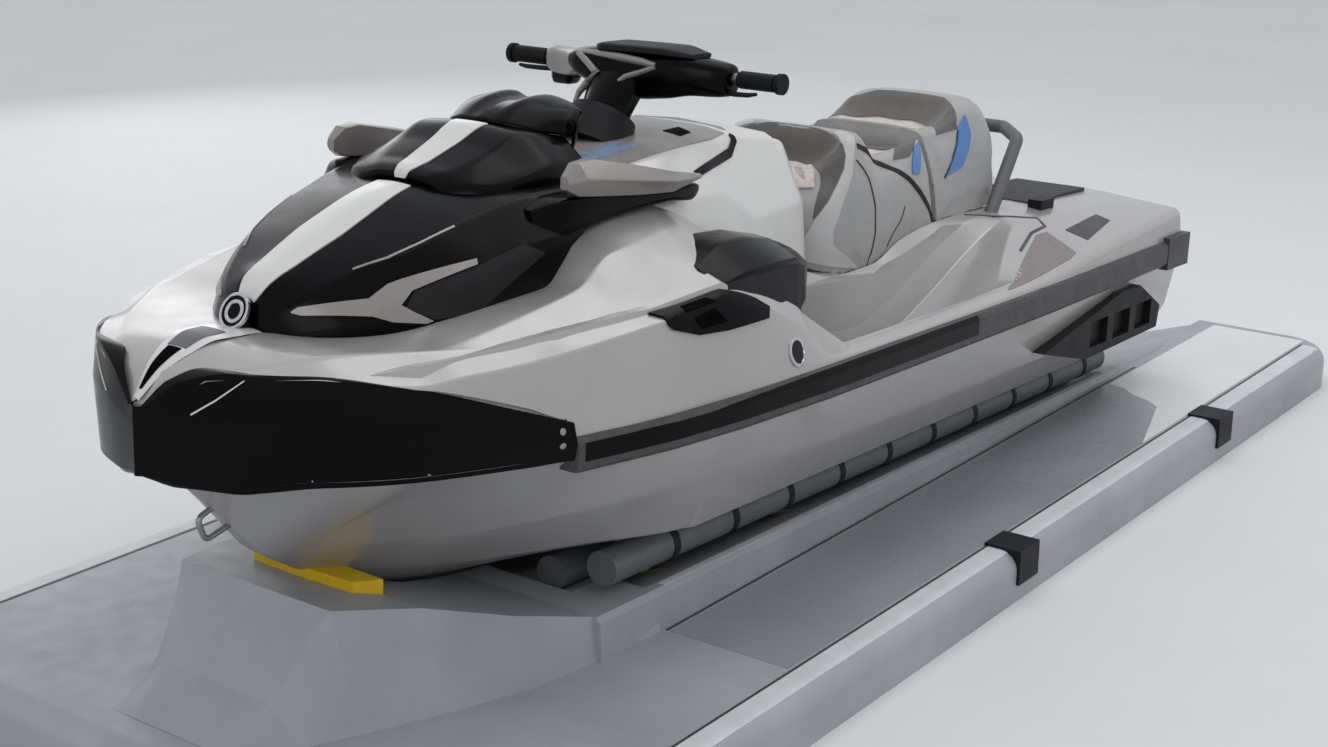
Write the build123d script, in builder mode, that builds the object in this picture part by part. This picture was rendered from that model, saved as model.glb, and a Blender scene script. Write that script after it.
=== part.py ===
from build123d import *
import os
from math import atan2, cos, degrees, radians, sin

# A three-seat personal watercraft parked on its floating drive-on port.
# Craft frame: X forward from the transom, Y to port, Z up from the keel, in millimetres.
# Part frame: the port's underside lies on Z = 0, with its centre below the origin.

# Floating port: overall sizes
PORT_LENGTH = 4200
PORT_WIDTH = 1770
PORT_DECK_Z = 370
PORT_CORNER_R = 160
PORT_EDGE_R = 45

# Where the craft sits on the port
CRAFT_STERN_X = -1395
CRAFT_KEEL_Z = 330
CRAFT_PITCH = 2.6
CRAFT_SEAT = Location((CRAFT_STERN_X, 0, CRAFT_KEEL_Z), (0, -CRAFT_PITCH, 0))
PORT_SEAT = Location((0, 0, 0))

# Craft: overall heights
SPLIT_Z = 448
GAP = 0.3
DEADRISE_RUN = 505
DEADRISE_RISE = 165
DEADRISE = degrees(atan2(DEADRISE_RISE, DEADRISE_RUN))
FOOTWELL_FLOOR_Z = 345
PLATFORM_Z = 585

# Hull sections, one row a station shared with the deck:
# x, keel z, chine y, z, side crease y, z, half breadth at the split
HULL_ROWS = [
    (0, 0, DEADRISE_RUN, DEADRISE_RISE, 556, 262, 590),
    (650, 0, DEADRISE_RUN, DEADRISE_RISE, 568, 262, 610),
    (900, 0, DEADRISE_RUN, DEADRISE_RISE, 572, 262, 618),
    (1270, 0, DEADRISE_RUN, DEADRISE_RISE, 573, 266, 622),
    (1900, 0, DEADRISE_RUN, DEADRISE_RISE, 574, 275, 625),
    (2060, 0, DEADRISE_RUN, DEADRISE_RISE, 571, 283, 624),
    (2380, 0, DEADRISE_RUN, DEADRISE_RISE, 558, 299, 612),
    (2600, 5, 402, 165, 523, 294, 590),
    (2720, 15, 300, 153, 447, 276, 567),
    (2850, 32, 180, 130, 350, 250, 541),
    (3130, 175, 18, 182, 36, 190, 430),
    (3300, 340, 11, 345, 22, 352, 300),
    (3400, 432, 6, 436, 12, 440, 160),
    (3446, 443, 3, 444, 5, 445, 24),
]

# Deck sections, one row a station: x, gunwale y, z, shoulder y, z, inner ledge y, z,
# height on the centre line
DECK_ROWS = [
    (0, 577, 545, 560, 556, 300, 575, 578),
    (650, 598, 510, 578, 520, 300, PLATFORM_Z, PLATFORM_Z + 3),
    (900, 604, 492, 585, 498, 300, PLATFORM_Z, PLATFORM_Z + 3),
    (1270, 607, 486, 588, 491, 300, 512, 515),
    (1900, 609, 482, 589, 486, 300, 560, 600),
    (2060, 609, 484, 552, 590, 330, 720, 760),
    (2380, 600, 495, 550, 712, 330, 800, 815),
    (2600, 585, 505, 531, 690, 338, 768, 785),
    (2720, 565, 506, 516, 688, 336, 688, 704),
    (2850, 540, 508, 498, 682, 318, 680, 694),
    (3130, 430, 540, 405, 650, 165, 656, 664),
    (3300, 300, 560, 280, 625, 100, 655, 668),
    (3400, 160, 560, 148, 612, 60, 612, 624),
    (3446, 24, 535, 22, 552, 14, 566, 572),
]

# Console sections: x, foot y, z, shoulder y, z, top y, z, height on the centre line
CONSOLE_ROWS = [
    (1490, 200, 480, 170, 690, 110, 820, 845),
    (1600, 260, 480, 235, 740, 165, 880, 902),
    (1850, 330, 480, 285, 740, 195, 918, 933),
    (2050, 400, 480, 300, 820, 215, 915, 930),
    (2400, 400, 480, 312, 825, 225, 890, 905),
]

# Hood lid sections: x, edge y, z, shoulder y, z, top y, z, height on the centre line
HOOD_ROWS = [
    (3192, 60, 640, 50, 668, 36, 690, 694),
    (3150, 130, 640, 112, 690, 70, 750, 760),
    (3090, 205, 640, 175, 712, 90, 775, 786),
    (2960, 288, 650, 255, 762, 120, 826, 838),
    (2800, 322, 670, 296, 812, 150, 878, 890),
    (2640, 340, 680, 326, 846, 200, 906, 922),
    (2405, 315, 780, 300, 868, 218, 905, 915),
]
HOOD_WALL = 12

# Gauge cowl sections: x, foot y, z, shoulder y, z, top y, z, height on the centre line
COWL_ROWS = [
    (2755, 130, 860, 118, 896, 70, 912, 917),
    (2700, 206, 860, 188, 908, 110, 932, 938),
    (2630, 232, 860, 208, 922, 128, 957, 966),
    (2540, 240, 860, 214, 930, 140, 990, 1001),
    (2405, 228, 860, 204, 920, 140, 970, 984),
]

# Gauge visor sections: x, foot y, z, top y, z, height on the centre line
VISOR_ROWS = [
    (2535, 60, 930, 50, 999, 1003),
    (2440, 140, 930, 120, 1001, 1010),
    (2345, 150, 930, 120, 1034, 1030),
    (2318, 144, 930, 112, 1024, 1020),
]

# Seat sections: x, foot y, z, side y, z, top y, z, height on the centre line
FRONT_SEAT_ROWS = [
    (1545, 110, 560, 118, 690, 84, 770, 780),
    (1450, 190, 525, 176, 690, 120, 785, 792),
    (1370, 232, 513, 205, 700, 150, 792, 786),
    (1290, 246, 511, 222, 760, 172, 868, 882),
    (1210, 248, 524, 226, 745, 168, 836, 850),
    (1130, 248, 540, 226, 705, 168, 770, 782),
    (905, 246, 583, 222, 712, 160, 782, 790),
]
REAR_SEAT_ROWS = [
    (900, 246, 583, 222, 750, 150, 838, 856),
    (820, 244, 587, 222, 740, 155, 820, 832),
    (760, 242, 587, 222, 745, 165, 828, 840),
    (690, 240, 587, 220, 790, 172, 890, 906),
    (590, 232, 587, 212, 800, 168, 892, 906),
    (470, 200, 587, 190, 780, 140, 850, 868),
]

# Footwells
FOOTWELL_AFT_X = 690
FOOTWELL_FORE_X = 2010
FOOTWELL_IN_Y = 300
FOOTWELL_OUT_Y = 556
MAT_THICK = 6

# Storage tubs: x low, x high, half width, floor z
FRONT_TUB = (2680, 3060, 190, 480)
GLOVE_TUB = (1600, 1780, 130, 760)
REAR_TUB = (520, 840, 170, 470)

# Pump, nozzle and gate
PUMP_Z = 118
PUMP_R = 92
PUMP_BORE_R = 78
PUMP_AFT_X = 20
PUMP_FORE_X = 330
TUNNEL_HALF = 150
TUNNEL_FORE_X = 560
TUNNEL_ROOF_Z = 235
SHAFT_R = 14

# Handlebar
BAR_R = 14
GRIP_R = 18
GRIP_IN_Y = 262
GRIP_OUT_Y = 400
GRIP_X = 1948
GRIP_Z = 1071
BAR_KNEE_Y = 120

# Bunks and rollers
BUNK_R = 40
BUNK_YS = (240, 380)
BUNK_AFT_X = 90
BUNK_FORE_X = 2540
ROLLER_R = 50
ROLLER_HALF = 24
ROLLER_Y = (BUNK_YS[0] + BUNK_YS[1]) / 2
ROLLER_XS = (210, 740, 1270, 1800, 2330)
AXLE_R = 8
AXLE_CLEAR = 0.3

os.makedirs("parts", exist_ok=True)


def save(piece, name, seat):
    """Set a copy of a finished piece in the part frame, label it and write its file."""
    placed = piece.part.moved(seat)
    placed.label = name
    export_step(placed, f"parts/{name}.step")


def cross_section(x, half_outline):
    """A closed section across the craft at x, mirrored from its port half."""
    mirrored = [(-y, z) for y, z in reversed(half_outline) if y > 0]
    with BuildSketch(Plane(origin=(x, 0, 0), x_dir=(0, 1, 0), z_dir=(1, 0, 0))) as section:
        with BuildLine():
            Polyline(*half_outline, *mirrored, close=True)
        make_face()
    return section.sketch


def hull_half(x, keel_z, chine_y, chine_z, crease_y, crease_z, breadth, grow=0):
    """Port half of the hull's section, grown outward for the port's cradle."""
    return [(0, keel_z - grow), (chine_y + grow / 2, chine_z - grow),
            (crease_y + grow, crease_z - grow / 2), (breadth + grow, SPLIT_Z)]


def hull_section(*row, grow=0):
    """Closed hull section up to the split plane."""
    return cross_section(row[0], hull_half(*row, grow=grow) + [(0, SPLIT_Z)])


def body_section(hull_row, deck_row):
    """Closed section of hull and deck together at their common station."""
    x, *deck_points, centre_z = deck_row
    pairs = list(zip(deck_points[0::2], deck_points[1::2]))
    return cross_section(x, hull_half(*hull_row) + pairs + [(0, centre_z)])


def shell_section(x, foot_y, foot_z, side_y, side_z, top_y, top_z, centre_z, wall=0, drop=0):
    """Section with a flat foot, a side and a crowned top, thinned by a wall for its inside."""
    return cross_section(x, [
        (0, foot_z - drop), (foot_y - wall, foot_z - drop), (side_y - wall, side_z - wall),
        (top_y - wall, top_z - wall), (0, centre_z - wall)])


def block(x_low, x_high, y_low, y_high, z_low, z_high, mode=Mode.ADD):
    """A box between two corners."""
    centre = ((x_low + x_high) / 2, (y_low + y_high) / 2, (z_low + z_high) / 2)
    with Locations(centre):
        return Box(x_high - x_low, y_high - y_low, z_high - z_low, mode=mode)


# Footwell pockets, cut from hull and deck alike
with BuildPart() as footwells:
    for side in (1, -1):
        floor_plane = Plane.XY.offset(FOOTWELL_FLOOR_Z)
        rim_plane = Plane.XY.offset(FOOTWELL_FLOOR_Z + 420)
        middle_y = side * (FOOTWELL_IN_Y + FOOTWELL_OUT_Y) / 2
        middle_x = (FOOTWELL_AFT_X + FOOTWELL_FORE_X) / 2
        width = FOOTWELL_OUT_Y - FOOTWELL_IN_Y
        length = FOOTWELL_FORE_X - FOOTWELL_AFT_X
        with BuildSketch(floor_plane) as floor_outline:
            with Locations((middle_x, middle_y)):
                Rectangle(length, width - 20)
            fillet(floor_outline.vertices(), 60)
        with BuildSketch(rim_plane) as rim_outline:
            with Locations((middle_x, middle_y)):
                Rectangle(length + 160, width + 60)
            fillet(rim_outline.vertices(), 60)
        loft([floor_outline.sketch, rim_outline.sketch])

# Hull and deck, one form parted at the split plane
BODY_ROWS = list(zip(HULL_ROWS, DECK_ROWS))
with BuildPart() as body_form:
    for stations in zip(BODY_ROWS, BODY_ROWS[1:]):
        loft([body_section(*rows) for rows in stations], ruled=True)

with BuildPart() as hull:
    add(body_form.part)
    block(-10, 3500, -700, 700, -10, SPLIT_Z, Mode.INTERSECT)
    add(footwells.part, mode=Mode.SUBTRACT)
    block(-10, TUNNEL_FORE_X, -TUNNEL_HALF, TUNNEL_HALF, -20, TUNNEL_ROOF_Z, Mode.SUBTRACT)
    block(1000, 1640, -210, 210, 150, SPLIT_Z + 1, Mode.SUBTRACT)
save(hull, "hull", CRAFT_SEAT)

with BuildPart() as console_form:
    loft([shell_section(*row) for row in CONSOLE_ROWS], ruled=True)

with BuildPart() as deck:
    add(body_form.part)
    block(-10, 3500, -700, 700, SPLIT_Z, 1200, Mode.INTERSECT)
    add(footwells.part, mode=Mode.SUBTRACT)
    add(console_form.part)
    block(*FRONT_TUB[:2], -FRONT_TUB[2], FRONT_TUB[2], FRONT_TUB[3], 1000, Mode.SUBTRACT)
    block(*GLOVE_TUB[:2], -GLOVE_TUB[2], GLOVE_TUB[2], GLOVE_TUB[3], 1000, Mode.SUBTRACT)
    block(*REAR_TUB[:2], -REAR_TUB[2], REAR_TUB[2], REAR_TUB[3], 1000, Mode.SUBTRACT)
save(deck, "deck", CRAFT_SEAT)

# Engine block in its sealed bay
with BuildPart() as engine:
    block(1080, 1580, -170, 170, 150, 430)
    fillet(engine.edges().filter_by(Axis.Z), 40)
save(engine, "engine", CRAFT_SEAT)

# Hood lid
with BuildPart() as hood_form:
    loft([shell_section(*row) for row in HOOD_ROWS], ruled=True)
    add(deck.part.moved(Location((0, 0, GAP))), mode=Mode.SUBTRACT)

with BuildPart() as hood_shell:
    add(hood_form.part)
    loft([shell_section(*row, wall=HOOD_WALL, drop=30) for row in HOOD_ROWS[1:]], ruled=True,
         mode=Mode.SUBTRACT)
save(hood_shell, "hood_shell", CRAFT_SEAT)

# Gauge cowl and visor
with BuildPart() as gauge_cowl:
    loft([shell_section(*row) for row in COWL_ROWS], ruled=True)
    add(hood_form.part, mode=Mode.SUBTRACT)
save(gauge_cowl, "gauge_cowl", CRAFT_SEAT)

with BuildPart() as gauge_visor:
    loft([cross_section(x, [(0, foot_z), (foot_y, foot_z), (top_y, top_z), (0, centre_z)])
          for x, foot_y, foot_z, top_y, top_z, centre_z in VISOR_ROWS], ruled=True)
    add(gauge_cowl.part, mode=Mode.SUBTRACT)
save(gauge_visor, "gauge_visor", CRAFT_SEAT)

# Seats
with BuildPart() as front_seat:
    loft([shell_section(*row) for row in FRONT_SEAT_ROWS], ruled=True)
    add(deck.part, mode=Mode.SUBTRACT)
save(front_seat, "front_seat", CRAFT_SEAT)

with BuildPart() as rear_seat:
    loft([shell_section(*row) for row in REAR_SEAT_ROWS], ruled=True)
    add(deck.part.moved(Location((0, 0, GAP))), mode=Mode.SUBTRACT)
save(rear_seat, "rear_seat", CRAFT_SEAT)

# Bow bumper: x, low y, z, ridge y, z, top y, z
BUMPER_AFT_X = 2850
BUMPER_ROWS = [
    (BUMPER_AFT_X, 548, 434, 554, 470, 545, 510),
    (2950, 508, 432, 522, 495, 506, 545),
    (3150, 415, 434, 438, 543, 418, 610),
    (3290, 308, 432, 318, 556, 304, 636),
    (3380, 196, 428, 206, 560, 192, 640),
    (3425, 98, 438, 114, 555, 98, 620),
    (3454, 20, 470, 28, 535, 20, 562),
]
with BuildPart() as bow_bumper:
    loft([cross_section(x, [(0, low_z), (low_y, low_z), (ridge_y, ridge_z), (top_y, top_z), (0, top_z)])
          for x, low_y, low_z, ridge_y, ridge_z, top_y, top_z in BUMPER_ROWS], ruled=True)
    add(body_form.part, mode=Mode.SUBTRACT)
    block(2800, 3100, -300, 300, 400, 700, Mode.SUBTRACT)
save(bow_bumper, "bow_bumper", CRAFT_SEAT)

# Side rub rails along the split
RAIL_AFT_X = 140
RAIL_FORE_X = BUMPER_AFT_X - 1
RAIL_PROUD = 16


def rail_section(x, breadth):
    """Rub rail section on the port side at x."""
    outline = [(breadth - 30, 410), (breadth + RAIL_PROUD - 6, 410), (breadth + RAIL_PROUD, 418),
               (breadth + RAIL_PROUD, 470), (breadth + RAIL_PROUD - 8, 481), (breadth - 30, 481)]
    with BuildSketch(Plane(origin=(x, 0, 0), x_dir=(0, 1, 0), z_dir=(1, 0, 0))) as section:
        with BuildLine():
            Polyline(*outline, close=True)
        make_face()
    return section.sketch


with BuildPart() as rub_rails:
    loft([rail_section(row[0], row[-1]) for row in HULL_ROWS if row[0] <= BUMPER_AFT_X], ruled=True)
    block(RAIL_AFT_X, RAIL_FORE_X, 400, 700, 400, 490, Mode.INTERSECT)
    mirror(about=Plane.XZ)
    add(body_form.part, mode=Mode.SUBTRACT)
save(rub_rails, "rub_rails", CRAFT_SEAT)

# Stern corner bumpers
with BuildPart() as stern_bumpers:
    block(-14, 138, 500, 612, 396, 492)
    fillet(stern_bumpers.edges().filter_by(Axis.Z).sort_by(Axis.X)[0:1], 8)
    mirror(about=Plane.XZ)
    add(body_form.part, mode=Mode.SUBTRACT)
save(stern_bumpers, "stern_bumpers", CRAFT_SEAT)

# Speaker pods: x, inner y, low z, outer y, its z, upper y, its z, inner top z
SPEAKER_ROWS = [
    (2400, 380, 640, 545, 690, 500, 760, 785),
    (2200, 380, 560, 560, 640, 530, 760, 785),
    (2060, 400, 540, 562, 600, 545, 715, 745),
    (2016, 420, 560, 545, 620, 530, 690, 712),
]
with BuildPart() as speaker_pods:
    sections = []
    for x, in_y, low_z, out_y, out_z, up_y, up_z, top_z in SPEAKER_ROWS:
        with BuildSketch(Plane(origin=(x, 0, 0), x_dir=(0, 1, 0), z_dir=(1, 0, 0))) as pod_section:
            with BuildLine():
                Polyline((in_y, low_z), (out_y, out_z), (up_y, up_z), (in_y, top_z), close=True)
            make_face()
        sections.append(pod_section.sketch)
    loft(sections, ruled=True)
    mirror(about=Plane.XZ)
    add(deck.part, mode=Mode.SUBTRACT)
save(speaker_pods, "speaker_pods", CRAFT_SEAT)


def side_plate(outline, low_y, high_y):
    """A plate with its outline in X and Z, between two Y values."""
    with BuildPart() as plate:
        with BuildSketch(Plane(origin=(0, high_y, 0), x_dir=(1, 0, 0), z_dir=(0, -1, 0))):
            with BuildLine():
                Polyline(*outline, close=True)
            make_face()
        extrude(amount=high_y - low_y)
    return plate.part


# Side vents in the shoulders
VENT_OUTLINE = [(2662, 690), (2476, 706), (2412, 679), (2315, 635), (2392, 622), (2547, 638)]
VENT_PROUD = 5
with BuildPart() as side_vents:
    add(side_plate(VENT_OUTLINE, 470, 640))
    add(deck.part.moved(Location((0, VENT_PROUD, 0))), mode=Mode.INTERSECT)
    mirror(about=Plane.XZ)
    add(deck.part, mode=Mode.SUBTRACT)
save(side_vents, "side_vents", CRAFT_SEAT)

# Hood blades, the silver accents on the hood's flanks
BLADE_OUTLINE = [(3205, 712), (3094, 728), (3029, 762), (2859, 792), (2990, 742), (3010, 722), (2968, 690),
                 (3010, 694), (3094, 706)]
with BuildPart() as hood_blades:
    add(side_plate(BLADE_OUTLINE, 100, 400))
    add(hood_form.part.moved(Location((0, 6, 0))), mode=Mode.INTERSECT)
    add(hood_form.part, mode=Mode.SUBTRACT)
    mirror(about=Plane.XZ)
save(hood_blades, "hood_blades", CRAFT_SEAT)

# Nose badge: a plain disc on the hood's tip
BADGE_R = 35
BADGE_TILT = 62
with BuildPart() as nose_badge:
    with Locations(Location((3200, 0, 696), (0, BADGE_TILT, 0))):
        Cylinder(BADGE_R, 26)
    add(hood_shell.part, mode=Mode.SUBTRACT)
    add(deck.part.moved(Location((0, 0, GAP))), mode=Mode.SUBTRACT)
    block(3000, 3180, -60, 60, 600, 800, Mode.SUBTRACT)
save(nose_badge, "nose_badge", CRAFT_SEAT)

# Mirrors: x, inner y, outer y, low z, high z
MIRROR_ROWS = [
    (2600, 318, 356, 892, 938),
    (2565, 314, 362, 888, 962),
    (2420, 314, 368, 876, 944),
    (2225, 330, 374, 862, 896),
]
with BuildPart() as mirror_housings:
    sections = []
    for x, in_y, out_y, low_z, high_z in MIRROR_ROWS:
        with BuildSketch(Plane(origin=(x, 0, 0), x_dir=(0, 1, 0), z_dir=(1, 0, 0))) as mirror_section:
            with Locations(((in_y + out_y) / 2, (low_z + high_z) / 2)):
                Rectangle(out_y - in_y, high_z - low_z)
        sections.append(mirror_section.sketch)
    loft(sections, ruled=True)
    block(2215, 2240, 300, 366, 866, 892, Mode.SUBTRACT)
    mirror(about=Plane.XZ)
save(mirror_housings, "mirror_housings", CRAFT_SEAT)

with BuildPart() as mirror_mounts:
    for side in (1, -1):
        block(2300, 2560, min(side * 250, side * 346), max(side * 250, side * 346), 835, 878)
    add(hood_form.part, mode=Mode.SUBTRACT)
    add(mirror_housings.part, mode=Mode.SUBTRACT)
    add(gauge_cowl.part, mode=Mode.SUBTRACT)
    add(deck.part.moved(Location((0, 0, GAP))), mode=Mode.SUBTRACT)
save(mirror_mounts, "mirror_mounts", CRAFT_SEAT)

# Glovebox lid
with BuildPart() as glovebox_lid:
    loft([cross_section(x, [(0, low_z), (half_y, low_z), (half_y, top_z), (half_y - 30, top_z + 14),
                            (0, top_z + 22)])
          for x, half_y, low_z, top_z in ((1594, 150, 862, 884), (1700, 165, 880, 905),
                                          (1795, 160, 890, 918))], ruled=True)
    add(deck.part.moved(Location((0, 0, GAP))), mode=Mode.SUBTRACT)
save(glovebox_lid, "glovebox_lid", CRAFT_SEAT)

# Footwell mats and platform mats
with BuildPart() as footwell_mats:
    for side in (1, -1):
        with BuildSketch(Plane.XY.offset(FOOTWELL_FLOOR_Z)) as mat_outline:
            with Locations(((FOOTWELL_AFT_X + FOOTWELL_FORE_X) / 2 - 30,
                            side * (FOOTWELL_IN_Y + FOOTWELL_OUT_Y) / 2)):
                Rectangle(FOOTWELL_FORE_X - FOOTWELL_AFT_X - 220, FOOTWELL_OUT_Y - FOOTWELL_IN_Y - 50)
            fillet(mat_outline.vertices(), 50)
        extrude(amount=MAT_THICK)
    add(deck.part, mode=Mode.SUBTRACT)
save(footwell_mats, "footwell_mats", CRAFT_SEAT)

with BuildPart() as platform_mats:
    for side in (1, -1):
        block(60, 420, min(side * 60, side * 290), max(side * 60, side * 290), 560, 594)
    add(deck.part, mode=Mode.SUBTRACT)
save(platform_mats, "platform_mats", CRAFT_SEAT)

# Tie-down cleats on the platform
with BuildPart() as platform_cleats:
    for side in (1, -1):
        block(390, 470, side * 325 - 22, side * 325 + 22, 560, 612)
    add(deck.part, mode=Mode.SUBTRACT)
    add(platform_mats.part, mode=Mode.SUBTRACT)
save(platform_cleats, "platform_cleats", CRAFT_SEAT)

# Grab rail round the back of the seat
GRAB_R = 19
with BuildPart() as grab_rail:
    with BuildLine() as grab_path:
        FilletPolyline((650, 268, 560), (455, 246, 780), (395, 170, 800), (395, -170, 800),
                       (455, -246, 780), (650, -268, 560), radius=30)
    with BuildSketch(Plane(origin=grab_path.line @ 0, z_dir=grab_path.line % 0)):
        Circle(GRAB_R)
    sweep(path=grab_path.line)
    block(300, 800, -400, 400, 500, PLATFORM_Z + 1, Mode.SUBTRACT)
save(grab_rail, "grab_rail", CRAFT_SEAT)

# Bow eye and stern eyes
with BuildPart() as bow_eye:
    with BuildLine() as bow_eye_path:
        FilletPolyline((3262, 0, 330), (3318, 0, 310), (3298, 0, 262), (3222, 0, 282), radius=14)
    with BuildSketch(Plane(origin=bow_eye_path.line @ 0, z_dir=bow_eye_path.line % 0)):
        Circle(6)
    sweep(path=bow_eye_path.line)
    add(hull.part, mode=Mode.SUBTRACT)
save(bow_eye, "bow_eye", CRAFT_SEAT)

with BuildPart() as stern_eyes:
    for side in (1, -1):
        with Locations(Location((-18, side * 420, 330), (90, 0, 0))):
            Torus(22, 6)
    add(hull.part, mode=Mode.SUBTRACT)
save(stern_eyes, "stern_eyes", CRAFT_SEAT)

# Sponsons on the stern's flanks
SPONSON_OUTLINE = [(945, 293), (679, 228), (193, 236), (180, 300), (335, 384), (470, 384)]
with BuildPart() as sponsons:
    add(side_plate(SPONSON_OUTLINE, 540, 616))
    for pocket_x in (300, 450, 600):
        block(pocket_x - 55, pocket_x + 55, 596, 620, 256, 330, Mode.SUBTRACT)
    mirror(about=Plane.XZ)
    add(hull.part, mode=Mode.SUBTRACT)
save(sponsons, "sponsons", CRAFT_SEAT)

# Pump: housing, impeller and drive shaft
with BuildPart() as pump_housing:
    with Locations(Location(((PUMP_AFT_X + PUMP_FORE_X) / 2, 0, PUMP_Z), (0, 90, 0))):
        Cylinder(PUMP_R, PUMP_FORE_X - PUMP_AFT_X)
        Cylinder(PUMP_BORE_R, PUMP_FORE_X - PUMP_AFT_X, mode=Mode.SUBTRACT)
    block(60, 320, -TUNNEL_HALF, -PUMP_BORE_R - 4, PUMP_Z - 12, PUMP_Z + 12)
    block(60, 320, PUMP_BORE_R + 4, TUNNEL_HALF, PUMP_Z - 12, PUMP_Z + 12)
    block(60, 320, -20, 20, PUMP_Z + PUMP_R - 6, TUNNEL_ROOF_Z)
    with Locations(Location((PUMP_AFT_X + 25, 0, PUMP_Z), (0, 90, 0))):
        Cylinder(30, 50)
        Cylinder(SHAFT_R + AXLE_CLEAR, 50, mode=Mode.SUBTRACT)
    for vane in range(5):
        with Locations(Location((PUMP_AFT_X + 25, 0, PUMP_Z), (vane * 72, 0, 0))):
            with Locations((0, 0, 54)):
                Box(50, 5, 52)
save(pump_housing, "pump_housing", CRAFT_SEAT)

with BuildPart() as impeller:
    with Locations(Location((130, 0, PUMP_Z), (0, 90, 0))):
        Cylinder(32, 90)
    with Locations(Location((290, 0, PUMP_Z), (0, 90, 0))):
        Cylinder(SHAFT_R, 540)
    for blade in range(4):
        with Locations(Location((130, 0, PUMP_Z), (blade * 90, 0, 0))):
            with Locations(Location((0, 0, 49), (0, 0, 35))):
                Box(90, 6, 42)
save(impeller, "impeller", CRAFT_SEAT)

# Venturi with the nozzle's two vertical pins
NOZZLE_PIN_X = -65
NOZZLE_PIN_R = 8
VENTURI_R = 60
with BuildPart() as venturi:
    with BuildSketch(Plane(origin=(PUMP_AFT_X, 0, PUMP_Z), z_dir=(-1, 0, 0))):
        Circle(PUMP_R)
        Circle(PUMP_BORE_R, mode=Mode.SUBTRACT)
    with BuildSketch(Plane(origin=(-20, 0, PUMP_Z), z_dir=(-1, 0, 0))):
        Circle(VENTURI_R)
        Circle(VENTURI_R - 10, mode=Mode.SUBTRACT)
    loft()
    with Locations(Location((-50, 0, PUMP_Z), (0, 90, 0))):
        Cylinder(VENTURI_R, 60)
    with Locations((NOZZLE_PIN_X, 0, PUMP_Z)):
        Cylinder(NOZZLE_PIN_R, 176)
    with Locations(Location((-50, 0, PUMP_Z), (0, 90, 0))):
        Cylinder(VENTURI_R - 10, 62, mode=Mode.SUBTRACT)
save(venturi, "venturi", CRAFT_SEAT)

with BuildPart() as steering_nozzle:
    with BuildSketch(Plane(origin=(NOZZLE_PIN_X, 0, PUMP_Z), z_dir=(-1, 0, 0))):
        Circle(81)
        Circle(75, mode=Mode.SUBTRACT)
    with BuildSketch(Plane(origin=(-150, 0, PUMP_Z), z_dir=(-1, 0, 0))):
        Circle(60)
        Circle(52, mode=Mode.SUBTRACT)
    loft()
    for side in (1, -1):
        with Locations((NOZZLE_PIN_X, 0, PUMP_Z + side * 79)):
            Box(36, 34, 10)
    with Locations((NOZZLE_PIN_X, 0, PUMP_Z)):
        Cylinder(NOZZLE_PIN_R + 0.08, 200, mode=Mode.SUBTRACT)
save(steering_nozzle, "steering_nozzle", CRAFT_SEAT)

# Reverse gate on two side pins that its brackets carry
GATE_PIN_X = -90
GATE_PIN_R = 8
GATE_IN_Y = 104
GATE_WALL = 8
GATE_TOP_Z = PUMP_Z + 100
with BuildPart() as reverse_gate:
    block(-200, -60, -GATE_IN_Y - GATE_WALL, GATE_IN_Y + GATE_WALL, GATE_TOP_Z - GATE_WALL, GATE_TOP_Z)
    for side in (1, -1):
        inner = side * GATE_IN_Y
        outer = side * (GATE_IN_Y + GATE_WALL)
        block(-200, -60, min(inner, outer), max(inner, outer), PUMP_Z + 50, GATE_TOP_Z)
        block(-120, -60, min(inner, outer), max(inner, outer), PUMP_Z - 24, GATE_TOP_Z)
    with Locations(Location((GATE_PIN_X, 0, PUMP_Z), (90, 0, 0))):
        Cylinder(GATE_PIN_R + 0.08, 300, mode=Mode.SUBTRACT)
save(reverse_gate, "reverse_gate", CRAFT_SEAT)

with BuildPart() as gate_brackets:
    for side in (1, -1):
        inner = side * (GATE_IN_Y + GATE_WALL + GAP)
        outer = inner + side * 8
        block(-120, 58, min(inner, outer), max(inner, outer), PUMP_Z - 24, PUMP_Z + 24)
        block(10, 58, min(outer, side * TUNNEL_HALF), max(outer, side * TUNNEL_HALF), PUMP_Z - 24, PUMP_Z + 24)
        with Locations(Location((GATE_PIN_X, side * (GATE_IN_Y + 6), PUMP_Z), (90, 0, 0))):
            Cylinder(GATE_PIN_R, 14)
save(gate_brackets, "gate_brackets", CRAFT_SEAT)

# Ride plate and intake grate under the tunnel
with BuildPart() as ride_plate:
    block(-10, 340, -TUNNEL_HALF, TUNNEL_HALF, 2, 10)
    block(-10, 340, -TUNNEL_HALF, -TUNNEL_HALF + 8, 10, 60)
    block(-10, 340, TUNNEL_HALF - 8, TUNNEL_HALF, 10, 60)
save(ride_plate, "ride_plate", CRAFT_SEAT)

with BuildPart() as intake_grate:
    block(342, TUNNEL_FORE_X, -TUNNEL_HALF, -TUNNEL_HALF + 30, 20, 30)
    block(342, TUNNEL_FORE_X, TUNNEL_HALF - 30, TUNNEL_HALF, 20, 30)
    for bar in range(-2, 3):
        block(342, TUNNEL_FORE_X, bar * 40 - 4, bar * 40 + 4, 14, 30)
    block(342, 366, -TUNNEL_HALF + 2, TUNNEL_HALF - 2, 16, 30)
    block(TUNNEL_FORE_X - 20, TUNNEL_FORE_X, -TUNNEL_HALF + 2, TUNNEL_HALF - 2, 16, 30)
save(intake_grate, "intake_grate", CRAFT_SEAT)

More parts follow.
